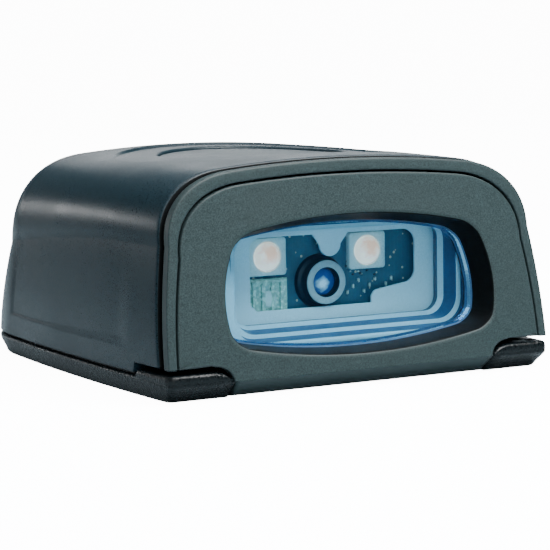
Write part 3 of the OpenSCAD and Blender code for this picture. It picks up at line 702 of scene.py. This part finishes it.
def build_button():
    """Dished round button that follows the crown, a little below the rim of its hole."""
    r0 = (BUTTON_HIGH.x - BUTTON_LOW.x) / 2 - 0.9
    profile = [(0.02, 0.78), (2, 0.78), (4, 0.78), (6, 0.78), (8, 0.77), (9.5, 0.76), (10.6, 0.75),
               (11.4, 0.74), (12.1, 0.74), (12.6, 0.75), (12.85, 0.8), (12.96, 0.9), (r0, 1.05),
               (r0, 1.9), (r0 - 1.5, 1.95)]
    steps, rows = 192, []
    for r, drop in profile:
        rows.append(on_skin(circle(r, turns(steps)), drop))
    verts, faces = grid(rows, closed=True)
    faces.append(tuple(range(steps)))
    button = piece("button_cap", verts, faces, BUTTON, body="button")
    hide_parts("trigger_button")


# ---- The front ----

RIM_W, RIM_TOP = 1.3, 1.7
RIM_SINK = 0.14          # the rim lies this much below the cover's skin


def rim_line(inset, low=FRAME_LOW):
    """The arch drawn in by inset, as (x, z) from the right leg over the top to the left one."""
    w = half_width(FRONT_Y + FACE_T) - inset
    top = crown_z(COVER_Y) - 0.1 - inset * RIM_TOP / RIM_W
    return whole_section(w, top, low)


def build_frame():
    profile = [(0.85, FACE_T + SEAM + 1.5), (0.8, FACE_T + 0.05), (0.7, FACE_T), (0.28, FACE_T),
               (0.1, FACE_T - 0.03), (0.02, FACE_T - 0.12), (0, FACE_T - 0.25), (0, 0.9), (0, 0.42),
               (0.03, 0.25), (0.1, 0.11), (0.22, 0.03), (0.36, 0), (0.6, 0), (0.85, 0), (1.08, 0),
               (1.18, 0.02), (1.26, 0.08), (1.3, 0.18), (1.3, 0.7), (1.3, 1.35)]
    rows = [leaning(rim_line(max(inset, RIM_SINK)), depth) for inset, depth in profile]
    verts, faces = grid(rows)
    n, m = len(rows[0]), len(rows)
    faces.append(tuple(i * n for i in range(m)))
    faces.append(tuple(i * n + n - 1 for i in reversed(range(m))))
    # Painted shade: the frame's rear side, in the seam behind its face, takes the black tunnel plastic.
    slots = [1 if f[0] // n < 3 and len(f) == 4 else 0 for f in faces]
    arch = piece("front_arch", verts, faces, [FRONT, TUNNEL_AND_SEAM_SHADE], face_slots=slots)
    modify(arch, "WEIGHTED_NORMAL", keep_sharp=True)
    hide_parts("front_frame")


def leaning(outline, depth):
    """Points of an outline at this depth behind the face."""
    return [(x, face_y(z, depth), z) for x, z in outline]


def drawn_in(outline, d):
    """A closed outline moved inward by d, point by point."""
    n, moved = len(outline), []
    for i, (x, z) in enumerate(outline):
        (x0, z0), (x1, z1) = outline[i - 1], outline[(i + 1) % n]
        tx, tz = x1 - x0, z1 - z0
        size = math.hypot(tx, tz) or 1
        moved.append((x - tz / size * d, z + tx / size * d))
    return moved


def panel_edge():
    """Outline of the front panel: arched above, with a notch over each corner tab."""
    arch = rim_line(RIM_W + 0.22, low=FRAME_LOW + 0.05)
    notch = [(21.6, FRAME_LOW)]
    for a in quarter(8):
        notch.append((18.9 + 2.5 * (1 - math.sin(a)), FACE_Z + 2.0 * math.cos(a) - 0.02))
    left = [(-x, z) for x, z in notch]
    bottom = [(-18.7 + 37.4 * i / 40, FACE_Z) for i in range(1, 40)]
    return list(reversed(notch)) + arch + left + bottom


def panel_angles(edge, centre):
    """Directions through the edge's points and even ones between, with near doubles left out."""
    found = {round(math.atan2(z - centre[1], x - centre[0]), 5) for x, z in edge}
    found |= {round(2 * math.pi * (i + 0.5) / 420 - math.pi, 5) for i in range(420)}
    rough = sorted(found)
    return [a for i, a in enumerate(rough) if i == 0 or a - rough[i - 1] > 0.002]


def build_panel():
    centre = (0, (WINDOW_LOW + WINDOW_TOP) / 2)
    edge = panel_edge()
    angles = panel_angles(edge, centre)
    outer = ray_hits(edge, centre, angles)
    eased = ((0, 1.3), (0, 0.5), (0, 0.16), (0.05, 0.06), (0.14, 0.01), (0.26, 0))
    rings = [leaning(drawn_in(outer, inset), depth) for inset, depth in eased]
    flat_out, flat_in = drawn_in(outer, 0.26), ray_hits(pillow(0.55), centre, angles)
    for t in (0.12, 0.25, 0.4, 0.55, 0.7, 0.85, 1):
        rings.append(leaning([lerp(p, q, t) for p, q in zip(flat_out, flat_in)], 0))
    mouth = ((0.32, 0.03), (0.14, 0.12), (0.04, 0.26), (0, 0.45), (-0.25, 1.7), (-0.5, 3), (-0.7, 4.05),
             (-0.8, TUNNEL_D), (-1.1, TUNNEL_D))
    rings += [leaning(ray_hits(pillow(g), centre, angles), depth) for g, depth in mouth]
    verts, faces = grid(rings, closed=True)
    # Painted shade: the innermost rows of the tunnel take the dark blue wall material, and the rows before
    # them take the black tunnel plastic.
    slots = []
    for f in faces:
        inward = len(rings) - min(f) // len(outer)
        slots.append(2 if inward <= 3 else 1 if inward <= 8 else 0)
    foot, quads = panel_foot()
    extend((verts, faces), (foot, quads))
    slots += [0] * len(quads)
    panel = piece("front_face", verts, faces, [FRONT, TUNNEL_AND_SEAM_SHADE, PAINTED_SHADE_WALLS], face_slots=slots)
    plane = Vector((0, -1, LEAN)).normalized()
    for polygon in panel.data.polygons:
        polygon.use_smooth = polygon.normal.dot(plane) < 0.99999
    modify(panel, "WEIGHTED_NORMAL", keep_sharp=True)
    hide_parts("front_panel")


def panel_foot():
    """The panel's lower edge, which turns under the housing and narrows on its way."""
    wide, narrow = 18.75, 18.35
    rim = [(2.5, -0.012), (2.3, -0.012), (2.22, 0.0), (2.14, 0.06)]
    path = [(face_y(z, depth), z, wide) for z, depth in rim]
    for i in range(1, 9):
        t = i / 8
        path.append((FOOT_Y + (TOE_Y - FOOT_Y) * t, 2.08 - 1.88 * t, wide + (narrow - wide) * t))
    path += [(TOE_Y + 0.1, 0.12, narrow), (TOE_Y + 0.25, 0.1, narrow), (TOE_Y + 0.7, 0.1, narrow),
             (TOE_Y + 0.7, 1.0, narrow)]
    verts, faces = grid([[(e * (-1 + 2 * i / 60), y, z) for i in range(61)] for y, z, e in path])
    for side in (0, 60):
        faces.append(tuple(i * 61 + side for i in range(len(path))))
    return verts, faces


# ---- The base ----


def plan(inset, front):
    """Plan outline of the base with a bay for the front panel's foot, from right to left."""
    w, wr = half_width(front) - inset, half_width(REAR_END) - inset
    half = [(18.95, TOE_Y + 0.85), (18.95, front), (20.5, front), (23, front), (25.5, front)]
    for a in quarter(5):
        half.append((w - 0.8 + 0.8 * math.sin(a), front + 0.8 - 0.8 * math.cos(a)))
    half += [(half_width(y) - inset, y) for y in [-28 + 2 * i for i in range(1, 23)]]
    for a in quarter(24):
        half.append((wr - REAR_LOW * (1 - math.cos(a)), REAR_END + (REAR_D - inset) * math.sin(a)))
    return half + [(-x, y) for x, y in reversed(half)]


def cut(obj, cutters):
    """Subtracts closed solids from obj and keeps the result as its mesh."""
    for verts, faces in cutters:
        mesh = bpy.data.meshes.new("cutter")
        mesh.from_pydata([Vector(v) * MM for v in verts], [], faces)
        face_outward(mesh)
        tool = bpy.data.objects.new("cutter", mesh)
        bpy.context.scene.collection.objects.link(tool)
        modify(obj, "BOOLEAN", object=tool, operation="DIFFERENCE", solver="EXACT")
        result = bpy.data.meshes.new_from_object(obj.evaluated_get(bpy.context.evaluated_depsgraph_get()))
        obj.modifiers.clear()
        obj.data = result
        bpy.data.objects.remove(tool)


def drum(x, y, low, high, r):
    """An upright cylinder, to cut holes with."""
    ring = circle(r, turns(64))
    return capped([[(x + a, y + b, z) for a, b in ring] for z in (low, high)])


def tab_height(x, y):
    """Top of a corner tab: it curves down beside the panel's foot and steps down at its rear end."""
    front = 2.05 + 1.5 * math.sqrt(max(0.0, 1 - max(0.0, (21.7 - abs(x)) / 2.6) ** 2))
    return max(2.42, front - 0.95 * smooth(y, -22.6, -22.0))


def tab_mesh(side):
    """One raised corner of the base, swept along the plan outline."""
    front = FOOT_Y
    w = half_width(front)
    start, step = 19.15, 0.3
    path = [(start + step * i, front) for i in range(int((w - 0.9 - start) / step) + 1)]
    for a in quarter(6):
        path.append((w - 0.8 + 0.8 * math.sin(a), front + 0.8 - 0.8 * math.cos(a)))
    path += [(half_width(front + 1 + 0.25 * i), front + 1 + 0.25 * i) for i in range(34)]
    rows = []
    for i, (x, y) in enumerate(path):
        x0, y0 = path[max(i - 1, 0)]
        x1, y1 = path[min(i + 1, len(path) - 1)]
        size = math.hypot(x1 - x0, y1 - y0)
        nx, ny = -(y1 - y0) / size, (x1 - x0) / size
        h = tab_height(x, y)
        rise = h - 2.32
        profile = [(0.5, 1.7), (0.35, 2.2), (0.08, 2.3), (-0.02, 2.32 + 0.12 * rise),
                   (-0.02, 2.32 + 0.45 * rise), (0.02, 2.32 + 0.66 * rise), (0.12, 2.32 + 0.83 * rise),
                   (0.3, 2.32 + 0.94 * rise), (0.55, h - 0.02), (0.85, h), (2.4, h), (2.6, h - 0.1),
                   (2.6, 1.7)]
        rows.append([(side * (x + nx * d), y + ny * d, z) for d, z in profile])
    verts, faces = grid(rows)
    n, m = len(rows[0]), len(rows)
    faces += [tuple(range(n)), tuple(reversed(range((m - 1) * n, m * n)))]
    return verts, faces


def build_base():
    profile = [(1.0, TOE_Y + 0.15, 0), (0.86, TOE_Y + 0.03, 0.05), (0.76, TOE_Y - 0.08, 0.16),
               (0.58, TOE_Y - 0.62, 0.7), (0.34, TOE_Y - 1.15, 1.2), (0.12, TOE_Y - 1.7, 1.7),
               (0.03, FRONT_Y + 0.2, 2.0), (0, FOOT_Y, 2.16), (0.01, FOOT_Y, 2.4),
               (0.09, FRONT_Y + 0.2, 2.56), (0.25, FRONT_Y + 0.35, 2.66), (0.5, FRONT_Y + 0.6, 2.7)]
    rows = [[(x, y, z) for x, y in plan(inset, front)] for inset, front, z in profile]
    verts, faces = capped(rows)
    base = piece("base_shell", verts, faces, BASE)
    low, high = box_mm("cover_screws")
    head, cx = 2, high.x - 2      # a screw head's radius, and the screws' distance from the middle
    insert, inserts = 2.3, box_mm("mount_inserts")[1]
    cutters = [drum(sx * cx, y, -1, 1.6, 2.15) for sx in (-1, 1) for y in (low.y + head, high.y - head)]
    cutters += [drum(sx * (inserts.x - insert), inserts.y - insert, -1, 4, 2.31) for sx in (-1, 1)]
    cutters.append(label_pocket())
    cut(base, cutters)
    for polygon in base.data.polygons:
        polygon.use_smooth = True
    modify(base, "WEIGHTED_NORMAL", keep_sharp=True)
    for side, name in ((-1, "left"), (1, "right")):
        verts, faces = tab_mesh(side)
        tab = piece("base_tab_" + name, verts, faces, BASE)
        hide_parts("base_plate")
    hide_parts("base_plate")


def label_pocket():
    ring = round_rect(0, 16, 24, 12, 0.8, step=3)
    return capped([[(x, y, z) for x, y in ring] for z in (-1, 0.25)])


# ---- Behind the window ----

PANE_DEPTH = (4.1, 5.3)
SHROUD_END = BOARD_Y - 1.6


def build_pane():
    """The window pane, with its edges eased on both faces."""
    near, far = PANE_DEPTH
    rings = [leaning(pillow(-6), near), leaning(pillow(-1.1), near), leaning(pillow(-0.95), near + 0.02),
             leaning(pillow(-0.9), near + 0.08), leaning(pillow(-0.9), far - 0.1),
             leaning(pillow(-1), far), leaning(pillow(-6), far)]
    pane = piece("window_pane", *capped(rings), GLASS, flat=True)
    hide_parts("exit_window")


def build_gasket():
    profile = ((0.9, 6.0), (0.9, 5.35), (0.8, 5.3), (-0.8, 5.3), (-0.92, 5.34), (-0.95, 5.45),
               (-0.95, 5.9), (-0.85, 6.0), (0.9, 6.0))
    rings = [leaning(pillow(g), depth) for g, depth in profile]
    gasket = piece("gasket_ring", *grid(rings, closed=True), RUBBER)
    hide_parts("window_gasket")


# Steps of the light shroud as (left, right, low, high, corner, y, pale). Without a y, a step
# lies on the front, which leans.
# Pale is 1 for a ledge, and 0 for a wall, whose dark blue is painted shade.
FLANGE_D = 6.15          # depth of the shroud's front, which leans like the face
OUTER = (-19.3, 19.9, 4.35, 21.3, 3.9)
STEPS = (
    (*OUTER, None, 0), (*OUTER, -22.4, 0), (*OUTER, None, 1), (-15.3, 19.7, 5.45, 20.1, 3.4, None, 1),
    (-15.2, 19.65, 5.55, 20.05, 3.3, -24.0, 0), (-15.1, 19.45, 5.84, 19.95, 3.2, -22.65, 0),
    (-15.0, 19.4, 5.92, 19.9, 3.2, -22.55, 1), (-14.5, 18.85, 6.38, 19.55, 2.9, -22.55, 1),
    (-14.4, 18.75, 6.45, 19.5, 2.9, -22.45, 0), (-14.0, 17.85, 6.78, 19.4, 2.5, -20.9, 0),
    (-13.95, 17.8, 6.84, 19.35, 2.5, -20.8, 1), (-13.75, 16.95, 7.34, 19.2, 2.1, -20.8, 1),
    (-13.7, 16.9, 7.4, 19.15, 2.0, -20.7, 0), (-13.9, 17.4, 7.25, 19.3, 2.0, SHROUD_END, 0),
    (-14.9, 18.9, 6.0, 20.4, 2.4, SHROUD_END, 0), (*OUTER, -22.3, 0))


def build_shroud():
    """Steps that narrow towards the optics: pale ledges between walls painted dark blue as shade."""
    rings = []
    for left, right, low, high, corner, y, _ in STEPS:
        middle, size = ((left + right) / 2, (low + high) / 2), (right - left, high - low)
        outline = round_rect(*middle, *size, corner, step=99)
        if y is None:
            y = FRONT_Y
        rings.append([(x, max(y, face_y(z, FLANGE_D)), z) for x, z in outline])
    verts, faces = grid(rings[1:-1], closed=True)
    n = len(rings[0])
    # Painted shade: each wall takes the dark blue material, each ledge the pale one.
    slots = [STEPS[1 + f[0] // n][6] for f in faces]
    shroud = piece("shroud_steps", verts, faces, [PAINTED_SHADE_WALLS, LEDGE], face_slots=slots)
    modify(shroud, "WEIGHTED_NORMAL", keep_sharp=True)
    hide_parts("light_shroud")


def arc(x, z, r, start, end, steps):
    """Points of a circle's arc, with its ends given in degrees."""
    points = []
    for i in range(steps + 1):
        a = math.radians(start + (end - start) * i / steps)
        points.append((x + r * math.cos(a), z + r * math.sin(a)))
    return points


def mask_opening():
    """Opening in the mask: wide over the two LEDs, with a tongue above the lens."""
    tongue = [(-1.1, 18.4)] + arc(1.5, 17, 1.6, 180, 360, 16) + [(4.2, 18.4)]
    right = arc(12.7, 16.6, 1.8, 90, 0, 10) + arc(12.7, 13, 1.8, 0, -90, 10)
    foot = arc(8.9, 9.4, 1.2, 90, 180, 8) + [(7.7, 8.85), (-9.4, 8.85), (-10.4, 9.8)]
    return arc(-8.9, 16.9, 1.5, 180, 90, 8) + tongue + right + foot


def plate(outline, front, back):
    """A closed flat plate with this outline, between two depths."""
    verts, faces = grid([[(x, y, z) for x, z in outline] for y in (front, back)], closed=True)
    n = len(outline)
    return verts, faces + [tuple(range(n)), tuple(range(n, 2 * n))]


def build_mask():
    """Pale mask in front of the optics board."""
    low, high = box_mm("optics_mask")
    outline = round_rect(0.55, 13.2, 36.1, 13.3, 1.5, step=99)
    mask = piece("mask_plate", *plate(outline, low.y, high.y), MASK, flat=True)
    cut(mask, [plate(mask_opening(), low.y - 1, high.y + 1)])
    ease(mask, 0.07)
    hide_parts("optics_mask")


def turned(name, profile, centre, material, steps):
    """A part turned from a profile of (radius, height). Its ends stay as the profile leaves them."""
    return piece(name, *grid(lathe(profile, centre, steps), closed=True), material)


def build_led(side, x):
    """White LED package with a silver cup, and its cast dome."""
    low, high = box_mm("led_package_" + side)
    z = (low.z + high.z) / 2
    w, h = high.x - low.x, high.z - low.z
    front = low.y
    steps = 96
    square = by_angle(round_rect(0, 0, w, h, 0.35, step=0.3), (0, 0), steps)
    inner = by_angle(round_rect(0, 0, w - 0.16, h - 0.16, 0.3, step=0.3), (0, 0), steps)
    rings = []
    for outline, y in ((square, BOARD_Y - 0.01), (square, front + 0.08), (inner, front)):
        rings.append([(x + a, y, z + b) for a, b in outline])
    for r, depth in ((2.12, 0), (2.04, 0.02), (1.98, 0.1), (1.7, 0.52), (1.0, 0.55), (0.02, 0.55)):
        rings.append([(x + r * math.cos(a), front + depth, z + r * math.sin(a)) for a in turns(steps)])
    verts, faces = grid(rings, closed=True)
    slots = [1 if f[0] // steps >= 5 else 0 for f in faces]
    package = piece("led_frame_" + side, verts, faces, [LED, CUP], face_slots=slots)
    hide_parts("led_package_" + side)
    dome = [(1.86, -0.45), (1.86, 0.02)]
    for a in quarter(12):
        dome.append((max(0.02, 1.78 * math.cos(a)), 0.1 + 0.98 * math.sin(a)))
    spot = (x + 0.1, front - 0.9, z + 0.6)
    # Painted glow: the dome's emission brightens it the way the lamps' reflection would. The orange towards
    # its top is its own tint.
    glow = domed("LED dome " + side, (0.95, 0.93, 0.9), (0.7, 0.08, 0.02), spot, 1.9,
                 Emission_Color=(1, 0.74, 0.58, 1), Emission_Strength=1.15)
    lens = turned("led_dome_" + side, dome, (x, front, z), glow, steps=72)
    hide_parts("led_lens_" + side)


def build_barrel():
    """The lens barrel, dark but for the pale ring at its front."""
    low, high = box_mm("lens_barrel")
    end, steps = low.y - high.y + 0.05, 96
    profile = [(3.45, end), (3.5, end + 0.05), (3.5, -1.75), (3.42, -1.62), (2.98, -1.6), (2.9, -1.52),
               (2.9, -0.1), (2.87, -0.03), (2.8, 0), (1.98, 0), (1.93, -0.02), (1.9, -0.08),
               (1.9, -0.42), (1.78, -0.5), (1.75, -0.6), (1.75, -3.9), (1.35, -4), (1.3, end), (3.45, end)]
    verts, faces = grid(lathe(profile, (LENS_X, low.y, LENS_Z), steps), closed=True)
    slots = [0 if 6 <= f[0] // steps <= 8 else 1 for f in faces]
    barrel = piece("barrel_ring", verts, faces, [BARREL, DARK_BARREL], face_slots=slots)
    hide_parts("lens_barrel")


def build_lens():
    """The front lens: a bulging cap on a short cylinder."""
    radius, bulge, profile = 1.74, 0.34, []
    for i in range(15):
        r = radius * i / 14
        profile.append((max(r, 0.02), bulge * (1 - (r / radius) ** 2)))
    profile += [(radius, -1.5), (0.02, -1.5)]
    centre = (LENS_X, LENS_LOW.y + 0.35, LENS_Z)
    # Painted highlight: the lens pales to cyan round a spot low on its left, where the lamps would glint.
    glow = domed("lens glass", (0.012, 0.07, 0.26), (0.6, 0.88, 1),
                 (LENS_X - 0.2, centre[1] - 0.3, LENS_Z - 0.3), 1.05, roughness=0.05)
    lens = turned("lens_front", profile, centre, glow, steps=96)
    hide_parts("camera_lens")


def build_aiming():
    """Translucent aiming block with bars moulded into its face, and its small lens."""
    low, high = box_mm("aiming_module")
    shape, eased = ([], []), 0.08

    def block(x0, x1, y0, y1, z0, z1):
        rings = []
        for inset, y in ((0, y1), (0, y0 + eased), (eased, y0)):
            middle = ((x0 + x1) / 2, (z0 + z1) / 2)
            size = (x1 - x0 - 2 * inset, z1 - z0 - 2 * inset)
            rings.append([(x, y, z) for x, z in round_rect(*middle, *size, 0.12, step=99, bend=3)])
        extend(shape, capped(rings))

    y = low.y
    block(low.x, high.x, y + 0.35, high.y - 0.02, low.z, high.z)
    for i in range(4):
        x = low.x + 0.35 + 1.36 * i
        block(x, x + 0.5, y, y + 0.4, low.z + 0.3, high.z - 0.3)
    block(low.x + 0.2, high.x - 0.2, y + 0.08, y + 0.4, low.z + 0.15, low.z + 0.65)
    block(low.x + 0.2, high.x - 0.2, y + 0.08, y + 0.4, high.z - 0.6, high.z - 0.15)
    aiming = piece("aiming_block", *shape, AIMING)
    modify(aiming, "WEIGHTED_NORMAL", keep_sharp=True)
    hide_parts("aiming_module")
    centre = (-7.3, y + 0.35, 10.3)
    dome = [(1.1, -0.2), (1.1, 0.1)]
    for a in quarter(8):
        dome.append((max(0.02, 1.05 * math.cos(a)), 0.12 + 0.2 * math.sin(a)))
    lens = turned("aiming_dome", dome, centre, DOME, steps=48)
    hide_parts("aiming_lens")


def box_piece(low, high, bevel):
    """Vertices and faces of a block with eased front edges."""
    (x0, y0, z0), (x1, y1, z1) = low, high
    rings = []
    for inset, y in ((0, y1), (0, y0 + bevel), (bevel, y0)):
        rings.append([(x0 + inset, y, z0 + inset), (x1 - inset, y, z0 + inset),
                      (x1 - inset, y, z1 - inset), (x0 + inset, y, z1 - inset)])
    return capped(rings)


def build_board_parts():
    """Chips, capacitors and resistors on the front of the optics board."""
    rng = random.Random(4)
    groups = {"white": ([], []), "dark": ([], []), "tin": ([], [])}

    def put(kind, x, z, w, h, t):
        low = (x - w / 2, BOARD_Y - t, z - h / 2)
        high = (x + w / 2, BOARD_Y - 0.01, z + h / 2)
        extend(groups[kind], box_piece(low, high, 0.04))

    for i in range(10):
        x, z = 4.8 + 0.85 * i, 10.3 + (i % 3) * 0.75
        put("white", x, z, 0.26, 0.34, 0.32)
        put("tin", x, z - 0.22, 0.28, 0.12, 0.34)
        put("tin", x, z + 0.22, 0.28, 0.12, 0.34)
    for i in range(5):
        x = 4.8 + 1.5 * i
        put("dark", x, 19.2, 0.6, 0.44, 0.35)
        put("tin", x - 0.34, 19.2, 0.18, 0.48, 0.37)
        put("tin", x + 0.34, 19.2, 0.18, 0.48, 0.37)
    for i in range(26):
        x, z = 4.4 + rng.random() * 5.5, 12.4 + rng.random() * 2.2
        put(rng.choice(("white", "dark", "tin")), x, z, 0.26, 0.2, 0.22)
    put("dark", -12.8, 11, 2.3, 2.3, 0.7)
    for kind, material, slot in (("white", WHITE, "white_ceramic"), ("dark", CHIP, "white_ceramic"),
                                 ("tin", TIN, "white_ceramic")):
        verts, faces = groups[kind]
        parts = piece("optics_parts_" + kind, verts, faces, material, flat=True)
        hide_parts("optics_chips")


# ---- CAD pieces that keep their shape ----

KEPT = {
    "base_seal": (RUBBER, 0.1), "optics_board": (BOARD, 0.05),
    "image_sensor": (CHIP, 0.1), "engine_chassis": (CASTING, 0.15), "engine_screws": (ZINC, 0.1),
    "flex_cable": (FILM, 0), "main_board": (BOARD, 0.05), "decoder_chip": (CHIP, 0.12),
    "memory_chips": (CHIP, 0.1), "shield_can": (TIN, 0.12), "board_parts": (WHITE, 0.06),
    "beeper": (CHIP, 0.2),
    "board_screws": (ZINC, 0.1), "cover_screws": (OXIDE, 0.12), "mount_inserts": (BRASS, 0.15),
    "interface_jack": (JACK, 0.3), "jack_contacts": (GOLD, 0.03), "key_board": (BOARD, 0.05),
    "key_dome": (TIN, 0), "key_screws": (ZINC, 0.1), "status_led": (WHITE, 0.05), "light_pipe": (PIPE, 0.1),
}


def finish_cad_pieces():
    for name, (material, bevel) in KEPT.items():
        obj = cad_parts[name]
        obj.data.materials.clear()
        obj.data.materials.append(material)
        if bevel:
            modify(obj, "WELD", merge_threshold=0.00001)
            ease(obj, bevel)


# ---- Surroundings ----


def build_floor():
    """Pale paper that runs under the object and sweeps up behind it."""
    flat, bend, path = 0.9, 0.6, [(-3, 0)]
    for degrees in range(0, 91, 5):
        a = math.radians(degrees)
        path.append((flat + bend * math.sin(a), bend - bend * math.cos(a)))
    path.append((flat + bend, 3))
    verts, faces = grid([[(x, y, z) for y, z in path] for x in (-4, 4)])
    mesh = bpy.data.meshes.new("floor")
    mesh.from_pydata(verts, [], faces)
    mesh.polygons.foreach_set("use_smooth", [True] * len(mesh.polygons))
    obj = bpy.data.objects.new("floor", mesh)
    bpy.context.scene.collection.objects.link(obj)
    obj.rotation_euler.z = AZIMUTH
    obj.location.z = -0.00002
    mesh.materials.append(paper("floor paper"))


def area_lamp(name, place, target, width, height, watts):
    lamp = bpy.data.lights.new(name, "AREA")
    lamp.shape = "RECTANGLE"
    lamp.size, lamp.size_y = width, height
    lamp.energy = watts
    obj = bpy.data.objects.new(name, lamp)
    bpy.context.scene.collection.objects.link(obj)
    obj.location = place
    aim = (Vector(place) - Vector(target)).normalized()
    obj.rotation_euler = aim.to_track_quat("Z", "Y").to_euler()


def build_lights():
    middle = (0, 0, 0.012)
    area_lamp("top softbox", (0.1, 0.15, 1.0), middle, 1.3, 1.1, 20)
    area_lamp("front softbox", (-0.3, -0.7, 0.62), middle, 0.4, 0.4, 4.5)
    area_lamp("near softbox", (0.05, -0.1, 0.17), middle, 0.12, 0.1, 1.3)
    area_lamp("fill softbox", (-0.25, -0.9, 0.2), middle, 0.3, 0.3, 2.5)
    area_lamp("left softbox", (-0.7, 0.1, 0.5), middle, 0.25, 0.4, 0.8)
    area_lamp("back strip", (-0.42, 0.8, 0.17), middle, 0.4, 0.05, 0.9)
    area_lamp("rear softbox", (0.4, 0.75, 0.22), middle, 0.5, 0.1, 0.5)
    world = bpy.context.scene.world or bpy.data.worlds.new("world")
    bpy.context.scene.world = world
    world.use_nodes = True
    background = world.node_tree.nodes["Background"]
    background.inputs["Color"].default_value = (0.8, 0.92, 1, 1)
    background.inputs["Strength"].default_value = 0.18


AZIMUTH, ELEVATION, ROLL = math.radians(-27.988), math.radians(6.254), math.radians(-0.938)
DISTANCE, LENS = 0.28243, 132.03


def build_camera():
    """A view a little above the face and from its left, in the object's own frame."""
    a, e = AZIMUTH, ELEVATION
    back = Vector((math.sin(a) * math.cos(e), -math.cos(a) * math.cos(e), math.sin(e)))
    right = Vector((math.cos(a), math.sin(a), 0))
    up = Vector((-math.sin(a) * math.sin(e), math.cos(a) * math.sin(e), math.cos(e)))
    across = math.cos(ROLL) * right + math.sin(ROLL) * up
    upward = -math.sin(ROLL) * right + math.cos(ROLL) * up
    camera = bpy.data.cameras.new("camera")
    camera.lens, camera.sensor_width = LENS, 36
    camera.clip_start = 0.01
    obj = bpy.data.objects.new("camera", camera)
    bpy.context.scene.collection.objects.link(obj)
    place = Vector((0.003287, 0, 0.011119)) + back * DISTANCE
    turn = Matrix((across, upward, back)).transposed()
    obj.matrix_world = Matrix.Translation(place) @ turn.to_4x4()
    bpy.context.scene.camera = obj


build_camera()
build_cover()
build_button()
build_frame()
build_panel()
build_base()
build_pane()
build_gasket()
build_shroud()
build_mask()
LED_PLACES = {"left": -7.5, "right": 7.5}
for side, x in LED_PLACES.items():
    build_led(side, x)
build_barrel()
build_lens()
build_aiming()
build_board_parts()
finish_cad_pieces()
build_floor()
build_lights()
